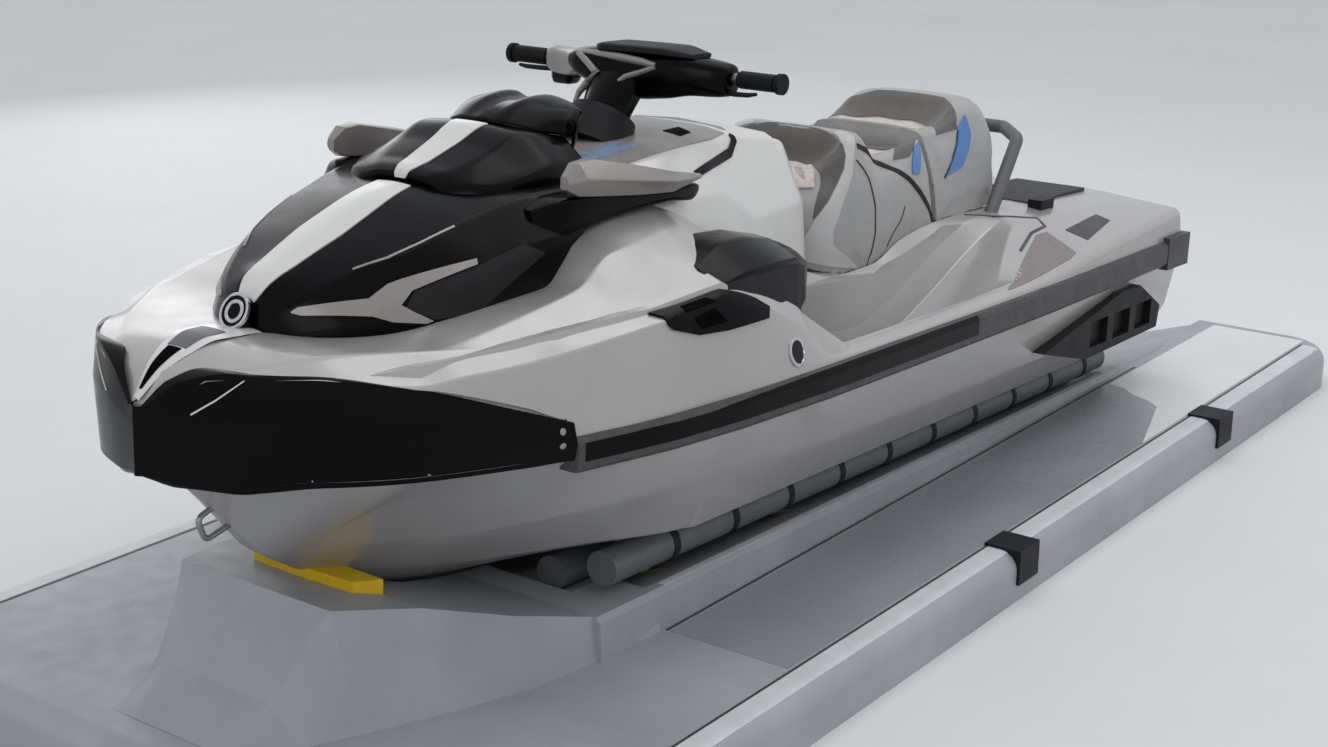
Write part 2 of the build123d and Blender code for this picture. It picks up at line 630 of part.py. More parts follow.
# Steering neck and handlebar, all turning on the inclined column
STEER_TILT = 34
STEER_BASE = (2085, 0, 972)
NECK_HIGH = 110
CLAMP_HIGH = 28
PAD_HIGH = 30
steer_plane = Plane(origin=STEER_BASE, x_dir=(0, 1, 0),
                    z_dir=(-sin(radians(STEER_TILT)), 0, cos(radians(STEER_TILT))))
with BuildPart() as column_collar:
    with BuildSketch(steer_plane.offset(-1)):
        Circle(78)
    with BuildSketch(steer_plane.offset(-90)):
        Circle(96)
    loft()
    add(deck.part, mode=Mode.SUBTRACT)
save(column_collar, "column_collar", CRAFT_SEAT)

with BuildPart() as steering_neck:
    with BuildSketch(steer_plane):
        Circle(58)
    with BuildSketch(steer_plane.offset(NECK_HIGH)):
        RectangleRounded(150, 64, 20)
    loft()
save(steering_neck, "steering_neck", CRAFT_SEAT)

bar_middle = steer_plane.from_local_coords((0, 0, NECK_HIGH + CLAMP_HIGH / 2))
with BuildPart() as handlebar:
    with BuildSketch(steer_plane.offset(NECK_HIGH)):
        RectangleRounded(150, 64, 20)
    extrude(amount=CLAMP_HIGH)
    with BuildLine() as bar_path:
        FilletPolyline((GRIP_X, -GRIP_OUT_Y + 6, GRIP_Z), (GRIP_X, -GRIP_IN_Y, GRIP_Z),
                       (bar_middle.X, -BAR_KNEE_Y, bar_middle.Z), (bar_middle.X, BAR_KNEE_Y, bar_middle.Z),
                       (GRIP_X, GRIP_IN_Y, GRIP_Z), (GRIP_X, GRIP_OUT_Y - 6, GRIP_Z), radius=40)
    with BuildSketch(Plane(origin=bar_path.line @ 0, z_dir=bar_path.line % 0)):
        Circle(BAR_R)
    sweep(path=bar_path.line)
save(handlebar, "handlebar", CRAFT_SEAT)

# Shroud sections across the bar: y, middle x, middle z, length, height
SHROUD_ROWS = [(0, 2004, 1096, 96, 74), (110, 2002, 1096, 96, 74), (190, 1984, 1088, 92, 66), (256, 1958, 1076, 70, 48)]
with BuildPart() as handlebar_pad:
    with BuildSketch(steer_plane.offset(NECK_HIGH + CLAMP_HIGH)):
        RectangleRounded(210, 110, 20)
    with BuildSketch(steer_plane.offset(NECK_HIGH + CLAMP_HIGH + PAD_HIGH)):
        RectangleRounded(180, 90, 20)
    loft()
    for side in (1, -1):
        shroud_sections = []
        for y, middle_x, middle_z, long, high in SHROUD_ROWS:
            with BuildSketch(Plane(origin=(middle_x, side * y, middle_z), x_dir=(1, 0, 0),
                                   z_dir=(0, 1, 0))) as shroud_section:
                RectangleRounded(long, high, 18)
            shroud_sections.append(shroud_section.sketch)
        loft(shroud_sections, ruled=True)
    add(handlebar.part, mode=Mode.SUBTRACT)
    add(steering_neck.part, mode=Mode.SUBTRACT)
save(handlebar_pad, "handlebar_pad", CRAFT_SEAT)

with BuildPart() as handlebar_grips:
    for side in (1, -1):
        with Locations(Location((GRIP_X, side * (GRIP_IN_Y + 20 + GRIP_OUT_Y) / 2, GRIP_Z), (90, 0, 0))):
            Cylinder(GRIP_R, GRIP_OUT_Y - GRIP_IN_Y - 20)
        with Locations(Location((GRIP_X, side * (GRIP_OUT_Y - 6), GRIP_Z), (90, 0, 0))):
            Cylinder(GRIP_R + 6, 12)
    add(handlebar.part, mode=Mode.SUBTRACT)
save(handlebar_grips, "handlebar_grips", CRAFT_SEAT)

# Port float: slab, curbs and bow pod, less the trough and the cradle for the bow
port_half = PORT_WIDTH / 2
craft_plane = Plane(CRAFT_SEAT)


def trough_section(x, lift):
    """Trough section in the craft frame; its bottom lies one bunk below the hull's."""
    slope = DEADRISE_RISE / DEADRISE_RUN
    drop = (2 * BUNK_R + GAP + 0.6) / cos(radians(DEADRISE))
    return cross_section(x, [
        (0, -110 + lift), (150, -110 + lift), (190, slope * 190 - drop),
        (CURB_IN_Y, slope * CURB_IN_Y - drop), (CURB_IN_Y, 600), (0, 600)])


# Curbs beside the trough: x, height of the top; and the pod at the bow: x, foot y, top y, top z
CURB_IN_Y = BUNK_YS[1] + BUNK_R + 2
CURB_ROWS = [(-1700, 374), (-1300, 380), (1240, 467)]
FLOAT_POD_ROWS = [
    (1040, CURB_IN_Y + 44, CURB_IN_Y + 18, 459),
    (1240, 452, CURB_IN_Y + 14, 467),
    (1425, 425, 380, 520),
    (1600, 365, 290, 575),
    (1774, 290, 214, 610),
    (1888, 235, 153, 440),
    (2000, 190, 120, PORT_DECK_Z + 2),
]

with BuildPart() as trough_cutter:
    loft([trough_section(-900, -40), trough_section(0, 0), trough_section(BUNK_FORE_X + 20, 0)], ruled=True)
    for side in (1, -1):
        for roller_x in ROLLER_XS:
            with Locations(Location((roller_x, side * ROLLER_Y, 40), (side * DEADRISE, 0, 0))):
                Box(120, 2 * ROLLER_HALF + 30, 110)

with BuildPart() as cradle_cutter:
    loft([hull_section(*row, grow=12) for row in HULL_ROWS[6:]], ruled=True)
    loft([cross_section(x, [(0, SPLIT_Z - 1), (y + 20, SPLIT_Z - 1), (y + 20, 700), (0, 700)])
          for x, y in ((2300, 640), (2850, 560), (3400, 150))], ruled=True)

with BuildPart() as port_float:
    with BuildSketch():
        Rectangle(PORT_LENGTH, PORT_WIDTH)
    extrude(amount=PORT_DECK_Z)
    fillet(port_float.edges().filter_by(Axis.Z), PORT_CORNER_R)
    fillet(port_float.edges().group_by(Axis.Z)[-1], PORT_EDGE_R)
    for side in (1, -1):
        curb_sections = []
        for curb_x, top_z in CURB_ROWS:
            with BuildSketch(Plane(origin=(curb_x, 0, 0), x_dir=(0, 1, 0), z_dir=(1, 0, 0))) as curb_section:
                with BuildLine():
                    Polyline((side * 300, 300), (side * (CURB_IN_Y + 44), 300),
                             (side * (CURB_IN_Y + 34), top_z - 12), (side * (CURB_IN_Y + 22), top_z),
                             (side * CURB_IN_Y, top_z), (side * 300, top_z - 40), close=True)
                make_face()
            curb_sections.append(curb_section.sketch)
        loft(curb_sections, ruled=True)
    loft([cross_section(x, [(0, 200), (foot_y, 200), (foot_y, PORT_DECK_Z), (top_y, top_z), (0, top_z)])
          for x, foot_y, top_y, top_z in FLOAT_POD_ROWS], ruled=True)
    add(trough_cutter.part.moved(CRAFT_SEAT), mode=Mode.SUBTRACT)
    add(cradle_cutter.part.moved(CRAFT_SEAT), mode=Mode.SUBTRACT)
save(port_float, "port_float", PORT_SEAT)

# Bunk rails with the roller axles, one solid a side
BUNK_DROP = (BUNK_R + GAP) / cos(radians(DEADRISE))
ROLLER_DROP = (ROLLER_R + GAP) / cos(radians(DEADRISE))
SLOPE = DEADRISE_RISE / DEADRISE_RUN
roller_z = SLOPE * ROLLER_Y - ROLLER_DROP
for side, side_name in ((1, "port"), (-1, "starboard")):
    with BuildPart() as bunk_rails:
        for bunk_y in BUNK_YS:
            with Locations(Location(((BUNK_AFT_X + BUNK_FORE_X) / 2, side * bunk_y,
                                     SLOPE * bunk_y - BUNK_DROP), (0, 90, 0))):
                Cylinder(BUNK_R, BUNK_FORE_X - BUNK_AFT_X)
        for roller_x in ROLLER_XS:
            with Locations(Location((roller_x, side * ROLLER_Y, roller_z), (90 + side * DEADRISE, 0, 0))):
                Cylinder(AXLE_R, 120)
    save(bunk_rails, f"bunk_rails_{side_name}", CRAFT_SEAT)
    for index, roller_x in enumerate(ROLLER_XS, start=1):
        with BuildPart() as roller:
            with Locations(Location((roller_x, side * ROLLER_Y, roller_z), (90 + side * DEADRISE, 0, 0))):
                Cylinder(ROLLER_R, 2 * ROLLER_HALF)
                Cylinder(AXLE_R + AXLE_CLEAR, 2 * ROLLER_HALF, mode=Mode.SUBTRACT)
            fillet(roller.edges().filter_by(GeomType.CIRCLE).sort_by(SortBy.RADIUS)[-2:], 12)
        save(roller, f"roller_{side_name}_{index}", CRAFT_SEAT)

# Bow stop: a bar across the pod's top that the keel rests in
STOP_X = 3025
STOP_HALF = 178
STOP_TOP_Z = 139
with BuildPart() as bow_stop:
    with BuildSketch(Plane.XY.offset(STOP_TOP_Z)):
        Polygon((STOP_X - 30, -STOP_HALF), (STOP_X + 22, -STOP_HALF + 34), (STOP_X + 30, 0),
                (STOP_X + 22, STOP_HALF - 34), (STOP_X - 30, STOP_HALF), (STOP_X - 36, 0), align=None)
    extrude(amount=-90)
    add(hull.part, mode=Mode.SUBTRACT)
    add(port_float.part.moved(CRAFT_SEAT.inverse()), mode=Mode.SUBTRACT)
save(bow_stop, "bow_stop", CRAFT_SEAT)

# Couplers on the outer edges
COUPLER_XS = (-1115, 125)
with BuildPart() as couplers:
    for side in (1, -1):
        for coupler_x in COUPLER_XS:
            y_in = side * (port_half - 90)
            y_out = side * (port_half + 8)
            block(coupler_x - 50, coupler_x + 50, min(y_in, y_out), max(y_in, y_out), 290, PORT_DECK_Z + 8)
    add(port_float.part, mode=Mode.SUBTRACT)
save(couplers, "couplers", PORT_SEAT)
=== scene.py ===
import bpy
import bmesh
import numpy as np
from mathutils import Matrix, Vector
from mathutils.bvhtree import BVHTree


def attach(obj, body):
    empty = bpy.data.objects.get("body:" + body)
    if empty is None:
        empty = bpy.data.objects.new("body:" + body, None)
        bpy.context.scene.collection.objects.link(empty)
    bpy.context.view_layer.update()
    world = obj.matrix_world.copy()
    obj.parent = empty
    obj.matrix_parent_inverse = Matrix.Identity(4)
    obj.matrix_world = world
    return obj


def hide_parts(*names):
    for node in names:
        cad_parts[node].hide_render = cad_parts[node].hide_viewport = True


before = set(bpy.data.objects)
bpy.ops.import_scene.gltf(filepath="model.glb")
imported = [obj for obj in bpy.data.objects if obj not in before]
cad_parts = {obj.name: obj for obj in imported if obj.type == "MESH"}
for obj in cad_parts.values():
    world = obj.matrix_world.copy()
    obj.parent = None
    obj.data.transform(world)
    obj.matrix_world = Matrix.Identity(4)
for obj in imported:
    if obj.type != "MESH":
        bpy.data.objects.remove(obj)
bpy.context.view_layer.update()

# The craft lies in the part frame turned bow-up by its pitch; its own frame is in millimetres,
# X forward from the transom, Y to port and Z up from the keel.
CRAFT_STERN_X, CRAFT_KEEL_Z, CRAFT_PITCH = -1395.0, 330.0, np.radians(2.6)
DEADRISE = np.arctan2(165, 505)
SIDES = ((1, "port"), (-1, "starboard"))
WELD, SLIVER = 2e-5, 1e-6           # metres: points nearer than this are one, edges shorter than this go
RIM_SINK = 1.0                      # mm that a panel's rim goes below the skin it lies on


def placed(points):
    """Craft millimetres to part metres: turned by the pitch about Y, then moved to the stern's place."""
    x, y, z = np.moveaxis(np.asarray(points, float), -1, 0)
    c, s = np.cos(CRAFT_PITCH), np.sin(CRAFT_PITCH)
    return np.stack([CRAFT_STERN_X + x * c - z * s, y, CRAFT_KEEL_Z + x * s + z * c], -1) / 1000


def metres(points):
    """Part millimetres to part metres."""
    return np.asarray(points, float) / 1000


def through(places, rows, at):
    """Rows of values carried smoothly along their places: a monotone cubic, whose slope at a row is
    the harmonic mean of the slopes before and after it, and 0 where these differ in sign."""
    places, rows, at = np.asarray(places, float), np.asarray(rows, float), np.asarray(at, float)
    slope = np.diff(rows, axis=0) / np.diff(places)[:, None]
    lead, trail = slope[:-1], slope[1:]
    same = lead * trail > 0
    inner = np.where(same, 2 * lead * trail / np.where(same, lead + trail, 1), 0)
    slopes = np.vstack([slope[:1], inner, slope[-1:]])
    k = np.clip(np.searchsorted(places, at, side="right") - 1, 0, len(places) - 2)
    step = (places[k + 1] - places[k])[:, None]
    t = (at - places[k])[:, None] / step
    return ((2 * t**3 - 3 * t**2 + 1) * rows[k] + (t**3 - 2 * t**2 + t) * step * slopes[k]
            + (3 * t**2 - 2 * t**3) * rows[k + 1] + (t**3 - t**2) * step * slopes[k + 1])


def softened(points, radii, per=6):
    """Sections (S, P, 3) with each inner corner cut back by its radius along both its edges, at most
    0.45 of them, and joined by the parabola (1-t)^2 a + 2t(1-t) corner + t^2 b."""
    corner, before, after = points[:, 1:-1], points[:, :-2], points[:, 2:]
    reach = np.broadcast_to(np.asarray(radii, float), (corner.shape[1],))[None, :, None]
    ends = []
    for other in (before, after):
        edge = other - corner
        length = np.linalg.norm(edge, axis=-1, keepdims=True) + 1e-9
        ends.append(corner + edge / length * np.minimum(reach, 0.45 * length))
    t = np.linspace(0, 1, per)[None, None, :, None]
    arc = (1 - t)**2 * ends[0][:, :, None] + 2 * t * (1 - t) * corner[:, :, None] + t**2 * ends[1][:, :, None]
    return np.concatenate([points[:, :1], arc.reshape(len(points), -1, 3), points[:, -1:]], axis=1)


def sections(table, at):
    """A table of rows x, y1, z1, y2, z2, ... carried along x: sections (S, P, 3) at the given x."""
    table = np.asarray(table, float)
    values = through(table[:, 0], table[:, 1:], at).reshape(len(at), -1, 2)
    return np.concatenate([np.broadcast_to(np.asarray(at)[:, None, None], values.shape[:2] + (1,)), values], -1)


def both_sides(half):
    """Port sections, centre last, continued to starboard by their mirror image."""
    other = half[:, ::-1] * [1, -1, 1]
    same = np.allclose(half[:, -1, 1], 0)
    return np.concatenate([half, other[:, 1:] if same else other], axis=1)


def unit(vectors):
    """Vectors brought to length 1, or left at 0."""
    return vectors / (np.linalg.norm(vectors, axis=-1, keepdims=True) + 1e-12)


def lifted(grid, by):
    """The grid moved along its own normals, the cross product of its two directions of travel."""
    return grid + unit(np.cross(np.gradient(grid, axis=0), np.gradient(grid, axis=1))) * by


def circle(count):
    """The cosines and sines of even steps round one turn."""
    turn = np.linspace(0, 2 * np.pi, count, endpoint=False)
    return np.cos(turn), np.sin(turn)


def cell_middles(grid):
    """The x, y and z of the middle of each cell of a grid."""
    return np.moveaxis((grid[:-1, :-1] + grid[1:, 1:]) / 2, -1, 0)


def mesh_piece(name, points, faces, body, coat, sharp=38):
    """A piece from points in metres and faces, smooth but for edges sharper than an angle."""
    mesh = bpy.data.meshes.new(name)
    mesh.from_pydata([tuple(p) for p in points], [], [tuple(f) for f in faces])
    work = bmesh.new()
    work.from_mesh(mesh)
    bmesh.ops.remove_doubles(work, verts=work.verts, dist=WELD)
    bmesh.ops.dissolve_degenerate(work, edges=work.edges, dist=SLIVER)
    if all(e.is_manifold for e in work.edges):
        bmesh.ops.recalc_face_normals(work, faces=work.faces)
    work.to_mesh(mesh)
    work.free()
    mesh.polygons.foreach_set("use_smooth", [True] * len(mesh.polygons))
    mesh.set_sharp_from_angle(angle=np.radians(sharp))
    thing = bpy.data.objects.new(name, mesh)
    bpy.context.scene.collection.objects.link(thing)
    mesh.materials.append(coat)
    if body:
        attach(thing, body)
    return thing


def grid_faces(rows, columns, wrap=False, skip=None):
    """Quads of a grid of points, closed round the section if asked, less the cells to skip."""
    index = np.arange(rows * columns).reshape(rows, columns)
    if wrap:
        index = np.hstack([index, index[:, :1]])
    quads = np.stack([index[:-1, :-1], index[1:, :-1], index[1:, 1:], index[:-1, 1:]], -1)
    if skip is not None:
        quads = quads[~skip]
    return quads.reshape(-1, 4)


def skin(name, grid, body, coat, wrap=False, caps=False, skip=None, flip=False, place=placed, **more):
    """A grid of points as a piece; caps close both ends of a wrapped grid with a fan."""
    rows, columns = grid.shape[:2]
    points = list(place(grid).reshape(-1, 3))
    faces = [list(f) for f in grid_faces(rows, columns, wrap, skip)]
    if caps:
        for row, turn in ((0, 1), (rows - 1, -1)):
            ring = np.arange(columns) + row * columns
            points.append(np.mean([points[i] for i in ring], axis=0))
            for a, b in zip(ring, np.roll(ring, -turn)):
                faces.append([a, b, len(points) - 1])
    if flip:
        faces = [f[::-1] for f in faces]
    return mesh_piece(name, points, faces, body, coat, **more)


def tube(name, path, radius, body, coat, sides=14):
    """A round profile carried along a path of points, with a radius for each. The profile's two axes are
    the path's normal to world up and the cross product of that with the path."""
    path = np.asarray(path, float)
    ahead = unit(np.gradient(path, axis=0))
    side = unit(np.cross(ahead, np.where(np.abs(ahead[:, 2:]) > 0.9, [[1.0, 0, 0]], [[0, 0, 1.0]])))
    c, s = circle(sides)
    ring = c[None, :, None] * side[:, None] + s[None, :, None] * np.cross(side, ahead)[:, None]
    grid = path[:, None] + np.asarray(radius, float)[:, None, None] * ring
    return skin(name, grid, body, coat, wrap=True, caps=True)


def bevelled(piece, mm):
    """Rounds a piece's sharp edges by a modifier."""
    tool = piece.modifiers.new("edge", "BEVEL")
    tool.width, tool.segments, tool.limit_method, tool.angle_limit = mm / 1000, 3, "ANGLE", np.radians(32)


def walled(piece, mm):
    """Gives a skin an inward wall by a modifier."""
    wall = piece.modifiers.new("wall", "SOLIDIFY")
    wall.thickness, wall.offset = mm / 1000, -1


def tree_of(*things):
    """A search tree over the meshes of the pieces."""
    points, faces = [], []
    for thing in things:
        first = len(points)
        points += [v.co.copy() for v in thing.data.vertices]
        faces += [[first + i for i in face.vertices] for face in thing.data.polygons]
    return BVHTree.FromPolygons(points, faces)


def panel(name, rows, base, body, coat, lift=1.5, along=6, across=6, side=1, place=placed, **more):
    """A panel laid on a skin. A row holds a point of each long edge; between them P = (1-s)a + s b, dropped
    to the nearest place on the skin and raised by the lift along its normal, with the rim sunk into it."""
    rows = np.asarray(rows, float).reshape(-1, 2, 3) * [1, side, 1]
    t = np.linspace(0, len(rows) - 1, (len(rows) - 1) * along + 1)
    k = np.minimum(t.astype(int), len(rows) - 2)
    pair = rows[k] + (rows[k + 1] - rows[k]) * (t - k)[:, None, None]
    s = np.linspace(0, 1, across + 1)[None, :, None]
    grid = place(pair[:, :1] * (1 - s) + pair[:, 1:] * s)
    found = [base.find_nearest(Vector(q))[:2] for q in grid.reshape(-1, 3)]
    spots = np.array([f[0] for f in found]).reshape(grid.shape)
    normals = np.array([f[1] for f in found]).reshape(grid.shape)
    around = ((1, 1), (1, 1), (0, 0))
    height = np.pad(np.full(grid.shape[:2] + (1,), lift), around, constant_values=-RIM_SINK) / 1000
    points = np.pad(spots, around, mode="edge") + np.pad(normals, around, mode="edge") * height
    cross = np.cross(points[2, 1] - points[1, 1], points[1, -2] - points[1, 1])
    turned = np.dot(cross, normals[0, 0]) > 0
    return skin(name, points, body, coat, place=np.asarray, flip=not turned, **more)


def strip(name, path, width, base, body, coat, side=1, place=placed, **more):
    """A narrow panel of one width along a path on a skin."""
    path = np.asarray(path, float)
    near = np.array([base.find_nearest(Vector(place(q * [1, side, 1])))[1] for q in path]) * [1, side, 1]
    across = unit(np.cross(unit(np.gradient(path, axis=0)), near)) * width / 2
    rows = np.stack([path + across, path - across], 1)
    return panel(name, rows, base, body, coat, side=side, across=2, place=place, **more)


def rings(name, rows, body, coat, corner=14, count=None, side=1, **more):
    """A closed body from rows x, y1, z1, y2, z2, ... of one closed outline each, its corners cut back."""
    rows = np.array(sorted(rows), float)
    at = np.linspace(rows[0, 0], rows[-1, 0], count) if count else rows[:, 0]
    grid = sections(rows, at)
    closed = np.concatenate([grid, grid[:, :2]], axis=1)
    soft = softened(closed, corner, per=4)[:, 1:-1]
    return skin(name, soft * [1, side, 1], body, coat, wrap=True, caps=True, **more)


def disc(name, centre, profile, body, coat, base=None, axis=(0, 0, 1), sides=40, side=1):
    """A turned form: rings of radius r at height h along an axis, or along a skin's normal at its nearest place."""
    centre, axis = placed(np.asarray(centre, float) * [1, side, 1]), np.asarray(axis, float)
    if base:
        centre, axis = [np.array(v) for v in base.find_nearest(Vector(centre))[:2]]
    axis = unit(axis)
    first = unit(np.cross(axis, [0, 0, 1] if abs(axis[2]) < 0.9 else [1, 0, 0]))
    c, s = circle(sides)
    ring = c[:, None] * first + s[:, None] * np.cross(axis, first)
    grid = np.array([centre + r / 1000 * ring + h / 1000 * axis for r, h in profile])
    return skin(name, grid, body, coat, wrap=True, caps=True, place=np.asarray)


def lobes(name, rows, body, coat, power=3.2, steps=40, sides=28):
    """A closed body across the craft: rows y, middle x, middle z, half length, half height; each ring is
    the superellipse |u/a|^p + |v/b|^p = 1."""
    rows = np.array(sorted(rows), float)
    at = np.linspace(rows[0, 0], rows[-1, 0], steps)
    values = through(rows[:, 0], rows[:, 1:], at)
    u, v = [np.sign(q) * np.abs(q)**(2 / power) for q in circle(sides)]
    grid = np.stack([values[:, :1] + values[:, 2:3] * u, np.broadcast_to(at[:, None], (steps, sides)),
                     values[:, 1:2] + values[:, 3:4] * v], -1)
    return skin(name, grid, body, coat, wrap=True, caps=True)


def both(make, name, *rest, **more):
    """A piece on each side, by side, starboard the mirror image of port. A dict among its values holds
    one value for each side."""
    return {side: make(name.format(mark), *[part[side] if isinstance(part, dict) else part for part in rest],
                       side=side, **more) for side, mark in SIDES}


def trees_of(pieces):
    """A search tree for the piece of each side."""
    return {side: tree_of(piece) for side, piece in pieces.items()}


def band(rows):
    """Rows x, half breadth, z as the two long edges of a panel over the middle line."""
    return [(x, -w, z, x, w, z) for x, w, z in rows]


def mirrored(rows):
    """Rows x y z, x y z of the port side from the middle outwards, carried over to starboard too."""
    rows = np.asarray(rows, float).reshape(-1, 2, 3)
    return np.concatenate([(rows * [1, -1, 1])[::-1], rows[rows[:, 0, 1] > 1]])


def soft_copy(form, name, shrink, cap, voxel=0.006, pressure=4.0, frames=20):
    """A padded copy of a closed form: remeshed in even cells, drawn in, blown up as cloth under pressure with
    gravity off, and each point's travel capped."""
    thing = bpy.data.objects.new(name, form.data.copy())
    bpy.context.scene.collection.objects.link(thing)
    cells = thing.modifiers.new("cells", "REMESH")
    cells.mode, cells.voxel_size = "VOXEL", voxel
    even = bpy.data.meshes.new_from_object(thing.evaluated_get(bpy.context.evaluated_depsgraph_get()))
    thing.modifiers.clear()
    thing.data = even
    count = len(even.vertices)
    start, normal = np.empty(count * 3), np.empty(count * 3)
    even.vertices.foreach_get("co", start)
    even.vertex_normals.foreach_get("vector", normal)
    start = start - normal * shrink / 1000
    even.vertices.foreach_set("co", start)
    cloth = thing.modifiers.new("cloth", "CLOTH")
    cloth.settings.use_pressure, cloth.settings.uniform_pressure_force = True, pressure
    cloth.settings.effector_weights.gravity = 0
    for step in range(1, frames + 1):
        bpy.context.scene.frame_set(step)
    blown = thing.evaluated_get(bpy.context.evaluated_depsgraph_get()).data
    end = np.empty(count * 3)
    blown.vertices.foreach_get("co", end)
    travel = (end - start).reshape(-1, 3)
    far = np.linalg.norm(travel, axis=1, keepdims=True)
    travel *= np.minimum(1, cap / 1000 / np.maximum(far, 1e-9))
    thing.modifiers.clear()
    bpy.context.scene.frame_set(1)
    even.vertices.foreach_set("co", start + travel.ravel())
    even.polygons.foreach_set("use_smooth", [True] * len(even.polygons))
    even.update()
    return thing


# Materials
def linear(code):
    """An sRGB colour code as linear values."""
    values = np.array([int(code[i:i + 2], 16) for i in (1, 3, 5)]) / 255
    return tuple(np.where(values <= 0.04045, values / 12.92, ((values + 0.055) / 1.055)**2.4)) + (1.0,)


def add(tree, kind, sockets=None, **settings):
    """Adds a node, sets its properties, and sets or links its input sockets."""
    node = tree.nodes.new("ShaderNode" + kind)
    for key, value in settings.items():
        setattr(node, key, value)
    for key, value in (sockets or {}).items():
        if isinstance(value, bpy.types.NodeSocket):
            tree.links.new(value, node.inputs[key])
        else:
            node.inputs[key].default_value = value
    return node


# Cells a metre of the flakes, water beads, wet places and rough patches; the beads' height in mm
FLAKES, BEADS, POOLS, PATCHES, BEAD_HEIGHT, ROUGH_SPREAD = 900.0, 95.0, 7.0, 18.0, 0.9, 0.06


def finish_of(name, colour, second, rough=0.5, metal=0.0, coat=0.0, coat_rough=0.05, grain=None, leather=False,
              mottle=(30, 0.6), ribs=None, wet=0.0, sheen=0.0, flakes=0.0, shine=0.5):
    """A procedural surface. grain = (size mm, depth mm), as cells where it is leather; mottle = (size mm, share
    of second colour); ribs = (pitch mm, depth mm, axis); wet = share of beaded water; flakes = metallic sparkle."""
    made = bpy.data.materials.new(name)
    made.use_nodes = True
    tree = made.node_tree
    shader = tree.nodes["Principled BSDF"]
    spot = add(tree, "TexCoord").outputs["Object"]
    bump = None

    def noise(scale, detail, **more):
        return add(tree, "TexNoise", {"Vector": spot, "Scale": scale, "Detail": detail, **more}).outputs["Fac"]

    def cells(scale, output, **settings):
        return add(tree, "TexVoronoi", {"Vector": spot, "Scale": scale}, **settings).outputs[output]

    def span(value, low, high, least=0.0, most=1.0):
        return add(tree, "MapRange", {"Value": value, "From Min": low, "From Max": high, "To Min": least,
                                      "To Max": most}).outputs["Result"]

    def mix(share, first, other):
        return add(tree, "Mix", {"Factor": share, "A": first, "B": other}, data_type="RGBA").outputs["Result"]

    def maths(operation, *values):
        return add(tree, "Math", dict(enumerate(values)), operation=operation).outputs[0]

    def press(height, depth_mm):
        nonlocal bump
        below = {"Normal": bump} if bump else {}
        bump = add(tree, "Bump", {"Height": height, "Strength": 1.0, "Distance": depth_mm / 1000, **below}
                   ).outputs["Normal"]

    cloud = noise(1000 / mottle[0], 5.0, Roughness=0.6)
    base = mix(span(cloud, 0.35, 0.7, 0.0, mottle[1]), linear(colour), linear(second))
    if flakes:
        base = mix(span(cells(FLAKES, "Color"), 0.2, 0.9, 0.0, flakes), base, (0.9, 0.9, 0.9, 1))
    tree.links.new(base, shader.inputs["Base Color"])
    shade = span(noise(PATCHES, 4.0), 0.3, 0.7, max(rough - ROUGH_SPREAD, 0.02), rough + ROUGH_SPREAD)
    tree.links.new(shade, shader.inputs["Roughness"])
    for socket, value in (("Metallic", metal), ("Coat Weight", coat), ("Coat Roughness", coat_rough),
                          ("Sheen Weight", sheen), ("Specular IOR Level", shine)):
        shader.inputs[socket].default_value = value
    if ribs:
        part = add(tree, "SeparateXYZ", {"Vector": spot}).outputs[ribs[2]]
        wave = maths("SINE", maths("MULTIPLY", part, 2 * np.pi * 1000 / ribs[0]))
        press(span(wave, -0.4, 0.4), ribs[1])
    if grain and leather:
        press(span(cells(1000 / grain[0], "Distance", feature="DISTANCE_TO_EDGE"), 0.0, 0.25), grain[1])
    elif grain:
        press(noise(1000 / grain[0], 3.0), grain[1])
    if wet:
        share = span(noise(POOLS, 3.0), 0.45, 0.75, 0.0, wet)
        press(maths("MULTIPLY", span(cells(BEADS, "Distance"), 0.16, 0.10), share), BEAD_HEIGHT)
    if bump:
        tree.links.new(bump, shader.inputs["Normal"])
    return made


SILVER = finish_of("silver paint", "#aaa7a5", "#a19e9b", rough=0.34, metal=0.4, coat=0.5, coat_rough=0.12,
    mottle=(300, 0.5), flakes=0.10, wet=0.35)
# Pale silver paint, also laid as a painted highlight along the bow bumper's crease
PALE = finish_of("pale silver paint and painted highlight", "#d2d0cd", "#c9c7c4", rough=0.36, metal=0.2, coat=0.5, coat_rough=0.12,
    mottle=(260, 0.5), flakes=0.08, wet=0.5)
BLACK = finish_of("gloss black plastic", "#020203", "#050507", rough=0.2, coat=0.02, coat_rough=0.1, mottle=(90, 0.5),
    wet=0.7, shine=0.09)
DARK = finish_of("dark moulded plastic", "#111113", "#19191b", rough=0.55, mottle=(40, 0.6), grain=(1.1, 0.10),
    wet=0.3, shine=0.25)
FACET = finish_of("dark textured plastic", "#131315", "#0b0b0d", rough=0.6, mottle=(9, 0.8), grain=(2.6, 0.35),
    leather=True, shine=0.3)
GRIP = finish_of("grip rubber", "#0c0c0e", "#141416", rough=0.6, mottle=(14, 0.8), grain=(1.5, 0.2), shine=0.2)
TOP = finish_of("satin grey console", "#86827f", "#7b7774", rough=0.4, coat=0.2, mottle=(60, 0.6), grain=(1.1, 0.05),
    wet=1.0)
DRY = finish_of("dry port deck", "#dcdddd", "#cfd1d2", rough=0.6, mottle=(300, 0.8), grain=(2.2, 0.12))
# Painted shade: a matte near-black that stands in for the shade inside vent openings, slots and recesses
HOLLOW_SHADE = finish_of("painted hollow shade", "#020202", "#050505", rough=0.9, mottle=(20, 0.5), shine=0.05)
GREY = finish_of("grey moulded plastic", "#5b5b5e", "#68686c", mottle=(60, 0.5), grain=(1.1, 0.08))
RUBBER = finish_of("dark rubber", "#343234", "#464446", mottle=(14, 0.8), grain=(1.5, 0.2), wet=0.5)
VINYL = finish_of("seat vinyl", "#a09f9e", "#959492", rough=0.46, mottle=(70, 0.6), grain=(2.4, 0.16), leather=True,
    sheen=0.15, wet=0.2)
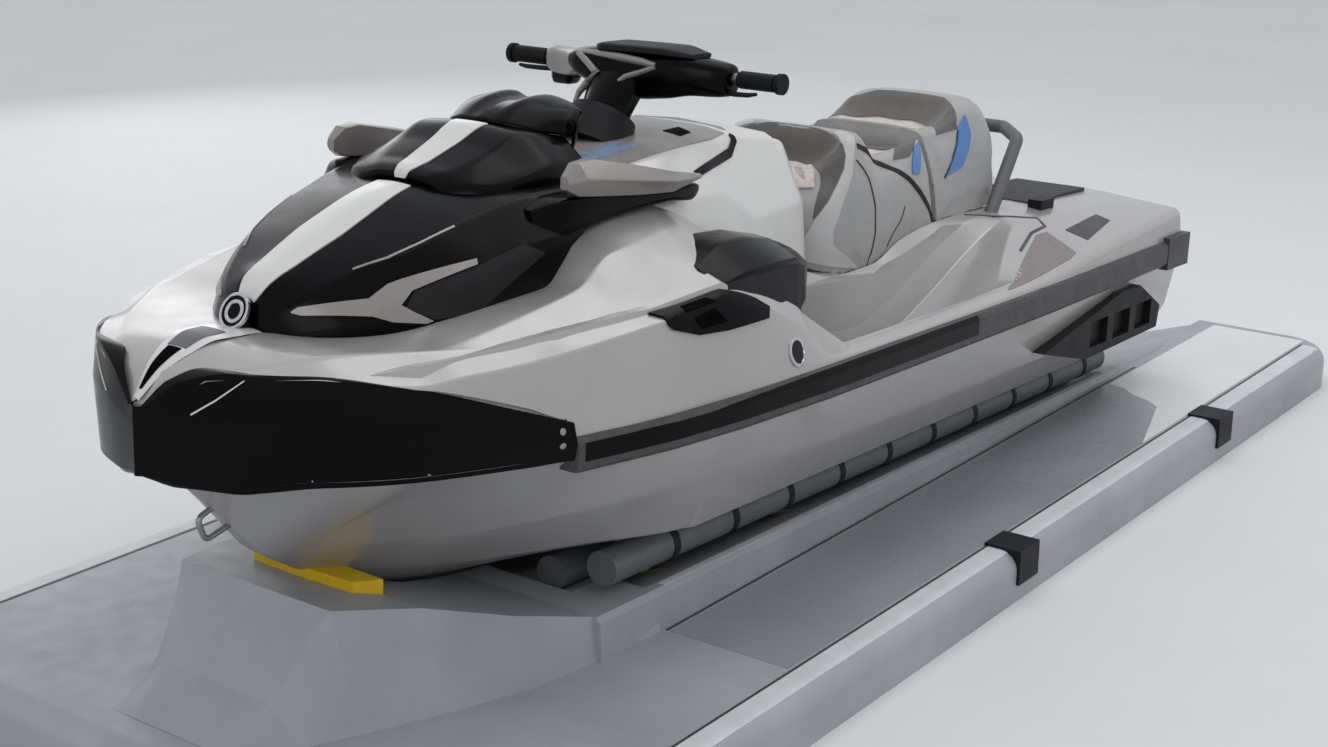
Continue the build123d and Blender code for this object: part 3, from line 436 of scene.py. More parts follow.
EDGE = finish_of("light seat vinyl", "#bcbbba", "#b3b2b0", rough=0.42, mottle=(60, 0.5), grain=(2.4, 0.12),
    leather=True, sheen=0.1)
PAN = finish_of("perforated seat vinyl", "#d6cac3", "#b0a59e", mottle=(9, 0.9), grain=(3.4, 0.30), leather=True,
    sheen=0.2, wet=0.3)
BOLSTER = finish_of("bolster vinyl", "#4d4843", "#5a544e", rough=0.42, mottle=(30, 0.7), grain=(3.0, 0.25),
    leather=True, sheen=0.2, wet=0.2)
SEAM = finish_of("seat piping", "#2c2a28", "#3a3734", rough=0.6, mottle=(12, 0.6), grain=(0.8, 0.08))
MAT = finish_of("deck mat foam", "#887f80", "#7c7475", rough=0.8, grain=(0.9, 0.12))
PLATFORM = finish_of("stern mat foam", "#38383a", "#444446", rough=0.8, ribs=(24, 1.4, "X"), grain=(0.9, 0.12))
PORT = finish_of("port plastic", "#a3a6aa", "#8e9195", rough=0.45, mottle=(420, 0.9), grain=(2.2, 0.10), wet=0.5)
# Port rim plastic, also laid as a painted highlight along the curb's crown
RIM_AND_CROWN_HIGHLIGHT = finish_of("port rim plastic and painted highlight", "#cdd0d2", "#bcbfc1", mottle=(120, 0.8), grain=(2.2, 0.14), wet=0.6)
BUNK = finish_of("bunk plastic", "#55585b", "#676a6d", rough=0.42, mottle=(60, 0.6), grain=(1.6, 0.1), wet=0.5)
YELLOW = finish_of("yellow roller plastic", "#e0b91c", "#c9a218", rough=0.38, mottle=(25, 0.5), grain=(1.0, 0.06))
STEEL = finish_of("brushed steel", "#9a9b9d", "#87888b", rough=0.32, metal=1.0, grain=(0.5, 0.01))
CAST = finish_of("cast aluminium", "#8d8f92", "#77797d", rough=0.48, metal=0.9, mottle=(20, 0.6), grain=(0.8, 0.08))
IRON = finish_of("engine casting", "#3c3d40", "#4a4b4e", rough=0.6, metal=0.4, grain=(1.0, 0.1))
BLUE = finish_of("blue vinyl", "#4a79b8", "#3d69a6", rough=0.4, coat=0.2, grain=(1.2, 0.06))
FROST = finish_of("wet blue-grey trim", "#8f9fb4", "#6d86a8", rough=0.25, coat=0.6, mottle=(16, 0.9),
    grain=(1.2, 0.06), wet=1.0)
# Satin silver trim, also laid as a painted highlight along the hood's shoulder crease
SILVER_TRIM_AND_HIGHLIGHT = finish_of("satin silver trim and painted highlight", "#8f8a86", "#827d79", rough=0.38, metal=0.35, coat=0.3, mottle=(50, 0.5),
    wet=0.5)
WET = finish_of("wet port deck", "#909297", "#84868b", rough=0.3, mottle=(380, 0.8), grain=(2.2, 0.06), wet=0.3)
CHROME = finish_of("chrome trim", "#c9c9cb", "#b4b5b8", rough=0.16, metal=1.0, mottle=(20, 0.5))
# Painted shade: a dark grey laid in grooves, creases and a corner where shade falls
GROOVE_SHADE = finish_of("painted groove shade", "#3b3b3e", "#2f2f32")

COATS = {node: coat for coat, nodes in (
    (SILVER, "hull deck"), (IRON, "engine"), (VINYL, "front_seat rear_seat"), (RUBBER, "rub_rails stern_bumpers"),
    (BLACK, "hood_shell gauge_cowl gauge_visor bow_bumper speaker_pods side_vents nose_badge mirror_mounts"),
    (BLACK, "steering_neck"), (SILVER_TRIM_AND_HIGHLIGHT, "hood_blades mirror_housings"), (PALE, "glovebox_lid"),
    (PLATFORM, "footwell_mats platform_mats"),
    (DARK, "platform_cleats sponsons steering_nozzle reverse_gate ride_plate column_collar handlebar_pad couplers"),
    (GREY, "grab_rail"), (STEEL, "bow_eye stern_eyes impeller handlebar"), (GRIP, "handlebar_grips"),
    (CAST, "pump_housing venturi gate_brackets intake_grate"), (PORT, "port_float"),
    (BUNK, "bunk_rails_port bunk_rails_starboard")) for node in nodes.split()}
for node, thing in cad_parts.items():
    thing.data.materials.clear()
    thing.data.materials.append(COATS.get(node, YELLOW))

# Hull skin: x, keel y z, chine y z, side crease y z, split y z
HULL = [
    (0, 0, 0, 500, 163, 556, 262, 590, 448), (650, 0, 0, 504, 165, 568, 262, 610, 448),
    (1270, 0, 0, 505, 165, 573, 266, 622, 448), (1900, 0, 0, 505, 165, 574, 275, 625, 448),
    (2380, 0, 0, 500, 168, 558, 299, 612, 448), (2600, 0, 5, 402, 165, 523, 294, 590, 448),
    (2850, 0, 32, 180, 130, 350, 250, 541, 448), (3130, 0, 175, 18, 182, 36, 190, 430, 448),
    (3300, 0, 340, 11, 345, 22, 352, 300, 448), (3400, 0, 432, 6, 436, 12, 440, 160, 448),
    (3446, 0, 443, 3, 444, 5, 445, 24, 448)]
HULL_LIFT, DECK_LIFT, HOOD_LIFT = 1.6, -1.5, -1.0   # mm that a skin stands off its solid, signed by its normals
BUMPER_AFT, BUMPER_FOOT = 2856, 441                 # the bow bumper covers what lies ahead of and above these
stations = np.unique(np.concatenate([np.linspace(2, 2300, 70), np.linspace(2300, 3446, 90)]))
grid = lifted(softened(both_sides(sections(HULL, stations)[:, ::-1]), [14, 9, 30, 9, 14], per=5), HULL_LIFT)
x, y, z = cell_middles(grid)
pump_bay = (x < 562) & (np.abs(y) < 150)
skin("hull_skin", grid, "root", SILVER, skip=pump_bay | (x > BUMPER_AFT) & (z > BUMPER_FOOT))

# Deck skin on each side: x, gunwale y z, crease y z, floor outer y z, floor inner y z, pedestal y z, ledge y z
DECK = [
    (0, 590, 450, 579, 546, 562, 560, 430, 570, 330, 579, 270, 582, 200, 584),
    (300, 600, 450, 590, 530, 572, 543, 400, 575, 320, 584, 260, 588, 200, 589),
    (640, 610, 450, 600, 512, 580, 524, 375, 578, 325, 587, 290, 589, 225, 592),
    (760, 614, 450, 603, 503, 580, 514, 400, 570, 330, 560, 290, 592, 235, 596),
    (900, 618, 450, 607, 494, 578, 506, 455, 548, 322, 500, 285, 570, 238, 594),
    (1080, 620, 450, 609, 490, 575, 500, 520, 470, 320, 420, 285, 530, 240, 575),
    (1250, 622, 450, 610, 488, 572, 496, 540, 380, 318, 362, 285, 500, 246, 528),
    (1400, 623, 450, 611, 486, 572, 494, 546, 354, 312, 352, 285, 500, 246, 524),
    (1700, 625, 450, 611, 484, 572, 492, 546, 353, 312, 352, 288, 530, 262, 600),
    (1880, 625, 450, 612, 484, 574, 494, 544, 372, 314, 370, 300, 560, 300, 640),
    (2000, 624, 450, 612, 486, 576, 512, 540, 490, 330, 500, 330, 640, 310, 700),
    (2080, 624, 450, 611, 488, 578, 560, 552, 606, 410, 660, 345, 720, 330, 735),
    (2380, 612, 450, 602, 496, 572, 676, 545, 697, 400, 799, 320, 839, 300, 842),
    (2480, 603, 450, 595, 500, 566, 673, 540, 689, 415, 794, 328, 832, 308, 834),
    (2600, 592, 450, 587, 506, 559, 667, 530, 680, 429, 785, 335, 793, 316, 795),
    (2640, 585, 450, 582, 507, 556, 665, 526, 678, 430, 768, 335, 758, 316, 758),
    (2690, 577, 450, 575, 508, 551, 661, 520, 676, 430, 735, 330, 716, 312, 716),
    (2760, 562, 450, 560, 509, 543, 656, 512, 673, 430, 721, 316, 706, 300, 706),
    (2850, 543, 450, 541, 510, 523, 643, 498, 669, 426, 705, 300, 695, 284, 695),
    (2950, 512, 450, 509, 547, 496, 635, 462, 662, 414, 686, 272, 681, 256, 681),
    (3060, 468, 450, 466, 584, 460, 628, 404, 667, 389, 668, 215, 663, 200, 663),
    (3130, 433, 450, 432, 604, 426, 618, 352, 666, 338, 667, 147, 660, 132, 660),
    (3210, 378, 450, 374, 622, 368, 627, 292, 663, 280, 665, 62, 666, 50, 667),
    (3300, 302, 450, 300, 637, 292, 640, 222, 650, 208, 654, 20, 669, 12, 671),
    (3400, 163, 450, 162, 632, 154, 633, 120, 630, 108, 630, 10, 629, 6, 629),
    (3446, 26, 450, 26, 556, 24, 558, 20, 566, 18, 567, 4, 575, 2, 575)]
stations = np.unique(np.concatenate([np.linspace(2, 2000, 90), np.linspace(2000, 3446, 110)]))
deck_half = lifted(softened(sections(DECK, stations), [8, 5, 5, 6, 8], per=5), DECK_LIFT)
under = np.zeros((len(deck_half) - 1, deck_half.shape[1] - 1), bool)
under[stations[:-1] > BUMPER_AFT, :5] = True
deck_skins = {side: skin(f"deck_skin_{mark}", deck_half * [1, side, 1], "root", SILVER, flip=side > 0, skip=under,
                         sharp=24) for side, mark in SIDES}

# Console skin: x, foot y z, shoulder y z, edge y z, top y z, centre
CONSOLE = [
    (1492, 204, 490, 176, 690, 116, 822, 60, 842, 0, 848),
    (1600, 262, 490, 240, 742, 170, 882, 90, 900, 0, 905),
    (1740, 296, 490, 270, 742, 188, 905, 100, 922, 0, 928),
    (1850, 332, 490, 288, 744, 198, 920, 110, 934, 0, 937),
    (2050, 402, 490, 303, 824, 218, 918, 110, 932, 0, 934),
    (2398, 402, 490, 316, 828, 228, 893, 110, 905, 0, 908)]
stations = np.linspace(1490, 2400, 70)
grid = lifted(softened(both_sides(sections(CONSOLE, stations)), [10, 8, 30, 40, 30, 8, 10], per=6), DECK_LIFT)
x, y, z = cell_middles(grid)
lid_place = (x > 1592) & (x < 1797) & (np.abs(y) < 148) & (z > 860)
console_skin = skin("console_skin", grid, "root", PALE, flip=True, sharp=24, skip=lid_place)

# Hood: x, edge y z, flank y z, shoulder y z, top y z, centre
HOOD = [
    (3196, 50, 642, 44, 668, 36, 682, 20, 690, 0, 694),
    (3150, 132, 642, 120, 684, 98, 722, 45, 750, 0, 755),
    (3090, 206, 642, 180, 704, 140, 758, 52, 778, 0, 784),
    (2960, 290, 652, 262, 738, 205, 812, 60, 832, 0, 838),
    (2800, 324, 672, 306, 780, 236, 862, 54, 888, 0, 892),
    (2640, 342, 682, 334, 810, 262, 890, 54, 912, 0, 916),
    (2404, 316, 782, 312, 826, 258, 892, 60, 910, 0, 914)]
stations = np.linspace(2404, 3196, 90)
grid = lifted(softened(both_sides(sections(HOOD[::-1], stations)), [14, 10, 10, 60, 10, 10, 14], per=6), HOOD_LIFT)
hood = skin("hood_skin", grid, "hood", BLACK, flip=True, sharp=30)
walled(hood, 10)
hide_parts("hood_shell")

# Gauge cowl and visor
COWL = [
    (2404, 229, 866, 205, 922, 142, 972, 0, 986), (2540, 241, 868, 216, 932, 142, 992, 0, 1003),
    (2630, 233, 868, 210, 924, 128, 959, 0, 968), (2700, 207, 868, 190, 910, 110, 934, 0, 940),
    (2756, 131, 868, 120, 896, 70, 913, 0, 918), (2760, 110, 868, 104, 884, 60, 896, 0, 898)]
stations = np.linspace(2404, 2760, 60)
cowl = skin("cowl_skin", softened(both_sides(sections(COWL, stations)), [16, 14, 120, 14, 16], per=6), "hood", BLACK,
    flip=True, sharp=30)
walled(cowl, 8)
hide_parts("gauge_cowl")
VISOR_LOW = [(0, 2528, 1000), (60, 2516, 996), (110, 2484, 986), (150, 2416, 976)]
VISOR_HIGH = [
    (0, 2332, 1025), (22, 2338, 1031), (50, 2344, 1042), (100, 2337, 1031), (135, 2344, 1018), (150, 2378, 992)]
across = np.linspace(-150, 150, 61)
low, high = [through([r[0] for r in t], [r[1:] for r in t], np.abs(across)) for t in (VISOR_LOW, VISOR_HIGH)]
s = np.linspace(0, 1, 16)[:, None, None]
grid = low[None] * (1 - s) + high[None] * s + np.sin(np.pi * s) * np.array([6.0, 16.0])
grid = np.concatenate([grid, grid[-1:] + [6, -18], grid[-1:] + [14, -52]])
grid = np.stack([grid[..., 0], np.broadcast_to(across, grid.shape[:2]), grid[..., 1]], -1)
visor = skin("visor_skin", grid, "hood", BLACK, flip=False, sharp=40)
walled(visor, 6)
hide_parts("gauge_visor")

# Bow bumper: x, low y z, ridge y z, top y z
BUMPER = [
    (2850, 500, 436, 548, 436, 556, 472, 546, 512, 500, 512),
    (2950, 470, 434, 508, 434, 524, 497, 507, 547, 470, 547),
    (3150, 380, 434, 415, 434, 440, 545, 419, 614, 396, 614),
    (3290, 270, 434, 308, 434, 320, 558, 305, 642, 292, 644),
    (3356, 192, 424, 232, 424, 246, 560, 231, 646, 222, 647),
    (3382, 160, 418, 196, 420, 208, 562, 191, 648, 112, 645), (3425, 80, 418, 98, 424, 115, 556, 99, 626, 62, 622),
    (3452, 14, 432, 20, 436, 29, 536, 21, 564, 12, 566)]
half = softened(sections(BUMPER, np.linspace(2850, 3452, 80)), [3, 6, 3], per=5)
nose = half[-1:] * [1, 0, 1] + [8, 0, 0]
grid = np.concatenate([half, nose, half[::-1] * [1, -1, 1]])
bumper = skin("bumper_skin", grid, "root", BLACK, flip=True, sharp=20)
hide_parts("bow_bumper")

# Panels on the hood, deck and nose
hood_tree, cowl_tree = tree_of(hood), tree_of(cowl)
panel("hood_stripe", band(((3188, 20, 715), (3172, 30, 735), (3150, 38, 755), (3110, 44, 775), (2985, 58, 828),
    (2880, 55, 865), (2775, 46, 896))), hood_tree, "hood", PALE, lift=3, across=10)
panel("cowl_stripe", band(((2757, 14, 905), (2735, 26, 926), (2705, 31, 940), (2630, 38, 968), (2540, 46, 1003))),
    cowl_tree, "hood", PALE, lift=2.5, across=10)
BLADE = [
    [(3157, 98, 707, 3157, 100, 705), (3148, 107, 716, 3147, 116, 701), (3051, 198, 731, 3056, 212, 700),
     (3014, 212, 756, 3008, 242, 719)],
    [(3014, 212, 756, 3008, 242, 719), (2990, 222, 762, 2982, 246, 743), (2840, 283, 790, 2844, 289, 780)],
    [(3008, 242, 719, 3056, 212, 700), (2990, 257, 705, 3027, 240, 688), (2960, 281, 686, 2974, 276, 682)]]
FACET_ROWS = [
    (3000, 248, 716, 3000, 250, 712), (2978, 249, 743, 2955, 282, 688), (2850, 288, 776, 2905, 300, 690),
    (2733, 311, 808, 2850, 318, 700), (2691, 331, 789, 2691, 333, 786)]
for index, rows in enumerate(BLADE):
    blades = both(panel, f"hood_blade_{{}}_{index}", rows, hood_tree, "hood", SILVER_TRIM_AND_HIGHLIGHT, lift=5, along=10)
    if index == 0:
        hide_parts("hood_blades")
both(panel, "hood_facet_{}", FACET_ROWS, hood_tree, "hood", FACET, lift=1.2, along=8)
# Painted highlight: a silver strip along the hood's shoulder crease
both(strip, "hood_ridge_{}", [
    (3041, 150, 770), (2990, 190, 800), (2930, 213, 826), (2846, 232, 852)], 5, hood_tree, "hood", SILVER_TRIM_AND_HIGHLIGHT)
body_tree, deck_trees = tree_of(bumper, *deck_skins.values()), trees_of(deck_skins)
# Painted highlight: a pale strip along the crease of the black bumper
both(strip, "bumper_line_{}", [
    (3422, 118, 566), (3400, 160, 596), (3372, 206, 636)], 3, body_tree, "root", PALE, lift=2)
vents = both(panel, "side_vent_{}", [
    (2606, 532, 680, 2606, 533, 678), (2545, 541, 684, 2566, 566, 646), (2500, 544, 687, 2491, 575, 624),
    (2390, 548, 696, 2400, 580, 618), (2241, 575, 640, 2249, 582, 618)], deck_trees, "root", BLACK, lift=6)
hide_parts("side_vents")
vent_trees = trees_of(vents)
# Painted shade in the upper and lower openings of each side vent
both(panel, "side_vent_upper_{}", [
    (2525, 546, 681, 2520, 562, 672), (2445, 551, 687, 2427, 564, 680)], vent_trees, "root", HOLLOW_SHADE, lift=1)
both(panel, "side_vent_lower_{}", [
    (2505, 568, 659, 2483, 574, 635), (2436, 571, 670, 2398, 579, 637)], vent_trees, "root", HOLLOW_SHADE, lift=1)
both(panel, "recess_mat_{}", [
    (1128, 585, 497, 1125, 590, 496), (900, 512, 530, 1000, 588, 500), (701, 448, 559, 740, 575, 518),
    (640, 450, 558, 690, 566, 522)], deck_trees, "root", MAT)
# Painted shade in the footwell's aft corner
both(panel, "corner_mat_{}", [
    (560, 470, 562, 563, 542, 541), (318, 450, 566, 330, 500, 556)], deck_trees, "root", GROOVE_SHADE)
# Painted shade along the crease where the footwell floor meets its walls
both(strip, "deck_line_{}", [
    (756, 250, 590), (640, 330, 584), (560, 380, 578), (600, 425, 567), (700, 432, 560), (860, 480, 538)], 9,
    deck_trees, "root", GROOVE_SHADE)
NOSE_TOP = [(3196, 60, 673), (3240, 60, 676), (3300, 54, 677), (3352, 44, 661), (3400, 28, 635), (3452, 8, 582)]
at = np.linspace(3196, 3452, 40)
line = through([r[0] for r in NOSE_TOP], [r[1:] for r in NOSE_TOP], at)
t = np.linspace(-1, 1, 17)
grid = np.stack([np.broadcast_to(at[:, None], (40, 17)), line[:, :1] * t, line[:, 1:] - 5 * t**2], -1)
nose_top = skin("nose_plate", grid, "root", PALE)
nose_tree = tree_of(nose_top)
panel("nose_inset", band(((3262, 33, 674), (3300, 32, 674), (3352, 25, 659))), nose_tree, "root", GREY)
# Painted shade in the slot down the nose plate
panel("nose_slot_shade", band(((3356, 18, 658), (3400, 12, 634), (3440, 3, 596))), nose_tree, "root", HOLLOW_SHADE)
TILT = np.radians(62)
face = unit(placed([np.sin(TILT), 0, np.cos(TILT)]) - placed([0, 0, 0]))
for name, low, high, inner, outer in (("badge_rim", 8, 15.5, 31, 37), ("badge_ring", 12.6, 14.4, 16, 24)):
    disc(name, (3200, 0, 696), [
        (inner, low), (inner, high - 1), (inner + 1, high), (outer - 1, high), (outer, high - 1), (outer, low)],
        "hood", CHROME, axis=face)
console_tree = tree_of(console_skin)
panel("console_top", band([
    (2396, 222, 894), (2240, 214, 905), (2080, 208, 915), (1930, 196, 916), (1846, 172, 918)]), console_tree, "root",
    TOP, lift=2, across=30)
both(panel, "console_edge_{}", [
    (2088, 260, 873, 2076, 272, 862), (1887, 210, 898, 1890, 227, 880), (1838, 180, 920, 1842, 206, 908)],
    console_tree, "root", BLACK, lift=3.5)
both(panel, "console_trim_{}", [
    (2392, 90, 906, 2385, 150, 902), (2280, 95, 915, 2280, 158, 908), (2160, 100, 925, 2150, 150, 917)], console_tree,
    "root", FROST, lift=3.5)
# Painted shade in the latch recess on the console
both(panel, "console_recess_{}", [
    (1985, 95, 934, 1990, 150, 929), (1915, 90, 934, 1935, 140, 930)], console_tree, "root", HOLLOW_SHADE, lift=3.5)

# Roundel, screws and the gloss fore half of the rail
ROUNDEL = (2151, 600, 528)
rail_tree = tree_of(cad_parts["rub_rails"])
both(disc, "roundel_rim_{}", ROUNDEL, [(33, -2), (33, 2), (31, 3), (26, 3), (25, 1)], "root", CHROME, deck_trees)
both(disc, "roundel_{}", ROUNDEL, [(26, -2), (26, 1.5), (10, 2.2)], "root", DARK, deck_trees)
for index, (x, y, z) in enumerate(((2884, 551, 470), (2880, 545, 500))):
    both(disc, f"bumper_screw_{{}}_{index}", (x, y, z), [
        (7, -1), (7, 1.5), (5, 2.5)], "root", STEEL, body_tree, sides=20)
both(panel, "rail_gloss_{}", [
    (x, 640, 486, x, 640, 432) for x in np.linspace(2846, 1380, 30)], rail_tree, "root", BLACK, along=1, across=14,
    lift=2)

# Mirrors: x, lower inner y z, lower outer, middle outer, upper outer, upper inner
MIRROR = [
    (2632, 322, 908, 336, 908, 344, 920, 340, 934, 322, 934),
    (2602, 316, 894, 350, 892, 372, 930, 346, 960, 316, 958),
    (2560, 314, 890, 356, 888, 380, 926, 350, 965, 314, 962),
    (2420, 316, 876, 360, 874, 382, 908, 356, 938, 316, 934),
    (2300, 322, 868, 362, 866, 378, 892, 360, 912, 322, 908),
    (2186, 334, 882, 350, 880, 356, 886, 352, 892, 336, 892)]
MOUNT = [
    (2690, 262, 800, 300, 806, 296, 868, 262, 868), (2620, 258, 806, 335, 812, 340, 888, 258, 888),
    (2560, 258, 822, 345, 824, 348, 889, 258, 889), (2420, 256, 834, 350, 838, 354, 876, 256, 876),
    (2300, 270, 842, 352, 844, 356, 869, 270, 869), (2200, 308, 836, 344, 834, 350, 872, 308, 872),
    (2176, 322, 846, 338, 844, 342, 866, 322, 866)]
SPEAKER = [
    (2392, 400, 690, 548, 692, 549, 700, 500, 735, 400, 766),
    (2290, 400, 650, 563, 660, 549, 717, 470, 766, 402, 782),
    (2180, 400, 600, 565, 612, 543, 717, 460, 767, 400, 776),
    (2060, 400, 560, 538, 572, 531, 712, 455, 746, 404, 750),
    (1975, 410, 582, 506, 600, 499, 680, 460, 712, 420, 722),
    (1938, 440, 642, 482, 650, 480, 676, 462, 690, 445, 700)]
mirrors = both(rings, "mirror_{}", MIRROR, "hood", SILVER_TRIM_AND_HIGHLIGHT, corner=4, sharp=18)
mounts = both(rings, "mirror_arm_{}", MOUNT, "hood", BLACK, corner=8, count=40)
speakers = both(rings, "speaker_{}", SPEAKER, "root", BLACK, corner=6, sharp=18)
both(panel, "speaker_grille_{}", [
    (2372, 549, 704, 2372, 552, 694), (2290, 551, 708, 2290, 562, 668), (2180, 546, 706, 2180, 563, 622),
    (2064, 533, 700, 2064, 537, 584), (1990, 507, 680, 1990, 512, 606)], trees_of(speakers), "root", FACET)
for made, node, slot in ((mirrors, "mirror_housings", "silver_accent"), (mounts, "mirror_mounts", "gloss_black"),
        (speakers, "speaker_pods", "gloss_black")):
    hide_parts(node)

# Seats: x, foot y z, side y z, crest y z, inner y z, centre
FRONT_SEAT = [
    (1560, 60, 720, 60, 770, 48, 792, 24, 800, 0, 802), (1530, 120, 640, 118, 740, 88, 784, 44, 790, 0, 792),
    (1450, 190, 530, 184, 700, 128, 792, 80, 786, 0, 782), (1380, 232, 515, 214, 700, 160, 806, 105, 776, 0, 772),
    (1325, 242, 512, 224, 730, 180, 842, 128, 792, 0, 778), (1285, 247, 511, 228, 750, 184, 868, 136, 852, 0, 846),
    (1245, 248, 516, 230, 752, 184, 872, 128, 880, 0, 882), (1200, 248, 526, 230, 742, 182, 850, 120, 852, 0, 850),
    (1150, 248, 536, 230, 722, 180, 806, 110, 790, 0, 786), (1080, 248, 552, 230, 716, 184, 806, 110, 778, 0, 775),
    (985, 247, 568, 228, 720, 184, 822, 116, 784, 0, 780), (906, 246, 583, 226, 724, 178, 836, 120, 800, 0, 790)]
REAR_SEAT = [
    (900, 246, 588, 226, 726, 176, 840, 110, 854, 0, 856), (865, 246, 588, 225, 726, 176, 842, 112, 846, 0, 842),
    (820, 245, 588, 224, 740, 180, 846, 118, 828, 0, 824), (760, 243, 588, 224, 756, 186, 866, 120, 832, 0, 826),
    (705, 241, 588, 223, 772, 186, 892, 126, 868, 0, 856), (650, 238, 588, 221, 788, 182, 902, 118, 904, 0, 904),
    (590, 232, 588, 214, 796, 174, 896, 112, 904, 0, 906), (520, 218, 588, 202, 788, 158, 874, 100, 884, 0, 888),
    (474, 196, 600, 186, 760, 136, 838, 90, 850, 0, 854)]


def seat_grid(table, count=70):
    """Seat sections closed under their feet, from aft to fore."""
    rows = sorted(table)
    return both_sides(softened(sections(rows, np.linspace(rows[0][0], rows[-1][0], count)), [60, 26, 26], per=6))


seats = {}
for name, table, body in (("front_seat", FRONT_SEAT, "root"), ("rear_seat", REAR_SEAT, "rear_seat")):
    form = skin(f"{name}_form", seat_grid(table), body, VINYL, wrap=True, caps=True)
    cushion = soft_copy(form, f"{name}_cushion", shrink=5, cap=5)
    cushion.data.materials.clear()
    cushion.data.materials.append(VINYL)
    bpy.data.objects.remove(form)
    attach(cushion, body)
    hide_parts(name)
    seats[name] = tree_of(cushion)

# Seat covers: a row holds a point of each long edge of a panel
front, rear = seats["front_seat"], seats["rear_seat"]
panel("front_bolster", mirrored([
    (1261, 0, 873, 1326, 0, 783), (1262, 40, 873, 1326, 40, 784), (1268, 85, 869, 1336, 80, 789),
    (1280, 130, 858, 1362, 118, 793), (1305, 170, 846, 1391, 146, 795), (1317, 191, 822, 1392, 169, 779),
    (1334, 198, 787, 1399, 177, 759), (1369, 197, 742, 1422, 180, 730), (1406, 197, 708, 1440, 182, 698),
    (1442, 187, 673, 1449, 184, 668)]), front, "root", BOLSTER, lift=2)
panel("front_pan", band([
    (1332, 50, 784), (1350, 92, 787), (1392, 136, 795), (1423, 166, 745), (1470, 148, 750), (1502, 122, 759),
    (1548, 66, 774)]), front, "root", PAN, lift=6, across=16)
panel("middle_bolster", mirrored([
    (909, 0, 806, 972, 0, 783), (909, 90, 812, 975, 80, 786), (912, 150, 834, 990, 130, 806),
    (925, 180, 836, 1018, 162, 815), (950, 194, 812, 1050, 184, 800), (996, 203, 785, 1068, 198, 784)]), front,
    "root", BOLSTER, lift=2)
panel("middle_pan", band([
    (980, 70, 785), (1010, 118, 800), (1060, 150, 805), (1120, 150, 800), (1180, 110, 820)]), front, "root", PAN,
    across=16)
panel("rear_bolster", mirrored([
    (648, 0, 904, 735, 0, 836), (650, 60, 904, 736, 55, 838), (660, 110, 903, 750, 95, 838),
    (690, 150, 893, 780, 128, 838), (716, 180, 872, 800, 158, 842), (738, 200, 832, 824, 184, 822)]), rear,
    "rear_seat", BOLSTER, lift=2)
panel("rear_pan", band([
    (744, 58, 835), (770, 100, 832), (812, 136, 835), (860, 140, 842), (888, 120, 852)]), rear, "rear_seat", PAN,
    across=16)
both(panel, "seat_edge_{}", [
    (1272, 122, 863, 1258, 140, 866), (1284, 148, 856, 1268, 180, 852), (1305, 173, 843, 1285, 197, 836),
    (1317, 193, 819, 1300, 205, 806), (1334, 200, 784, 1314, 212, 770), (1369, 199, 740, 1354, 216, 709),
    (1406, 199, 705, 1397, 215, 638), (1442, 189, 670, 1398, 219, 595), (1476, 172, 612, 1348, 235, 562),
    (1480, 178, 560, 1292, 246, 521)], front, "root", EDGE, lift=2.5)
both(strip, "saddle_edge_{}", [
    (1270, 196, 838), (1215, 190, 822), (1154, 191, 788), (1091, 207, 760), (1033, 222, 727), (987, 231, 688),
    (940, 238, 640), (914, 242, 600)], 15, front, "root", DARK, lift=2.5)
both(strip, "seam_fore_{}", [
    (1289, 207, 805), (1268, 216, 780), (1250, 225, 753), (1227, 236, 679), (1228, 241, 613), (1244, 245, 560),
    (1262, 247, 522)], 4, front, "root", SEAM, lift=2)
both(strip, "seam_aft_{}", [
    (1070, 236, 660), (1091, 240, 628), (1131, 243, 594), (1159, 246, 562)], 3, front, "root", SEAM)
both(panel, "blue_fore_{}", [
    (918, 192, 816, 962, 196, 806), (935, 204, 780, 990, 206, 776), (957, 213, 757, 1004, 212, 756),
    (979, 220, 735, 1012, 219, 738)], front, "root", BLUE, lift=4)
both(panel, "blue_aft_{}", [
    (735, 201, 838, 690, 196, 868), (752, 208, 806, 680, 212, 812), (775, 215, 775, 705, 221, 770),
    (835, 226, 712, 747, 227, 728)], rear, "rear_seat", BLUE, lift=3)
both(strip, "seam_rear_{}", [
    (738, 203, 828), (760, 211, 790), (800, 220, 745), (842, 227, 708)], 4, rear, "rear_seat", SEAM, lift=3.5)

# Handlebar: y, middle x z, half length, half height
SHROUD = [
    (-150, 1996, 1084, 40, 20), (-120, 2000, 1080, 50, 34), (-60, 2004, 1075, 56, 44), (60, 2002, 1062, 58, 52),
    (120, 1998, 1068, 56, 52), (180, 1984, 1072, 50, 45), (236, 1962, 1068, 44, 40), (262, 1952, 1066, 34, 34),
    (268, 1950, 1066, 20, 22)]
shroud = lobes("handlebar_shroud", SHROUD, "steering", BLACK)
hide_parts("handlebar_pad")
SWITCHES = [
    (-268, 1950, 1072, 18, 20), (-262, 1952, 1073, 30, 27), (-222, 1958, 1068, 38, 32), (-180, 1972, 1070, 40, 32),
    (-140, 1990, 1080, 44, 26), (-112, 2000, 1086, 46, 24)]
lobes("switch_housing", SWITCHES, "steering", SILVER_TRIM_AND_HIGHLIGHT, power=4.0)
lobes("switch_block", [
    (-250, 1956, 1036, 20, 14), (-236, 1960, 1034, 26, 20), (-190, 1970, 1036, 26, 20), (-172, 1974, 1044, 20, 12)],
    "steering", BLACK, power=4.0)
lobes("gauge_pad", [
    (-70, 1990, 1122, 40, 6), (-40, 1992, 1124, 62, 10), (120, 1988, 1126, 62, 10), (196, 1978, 1118, 36, 6)],
    "steering", DARK, power=5.0)
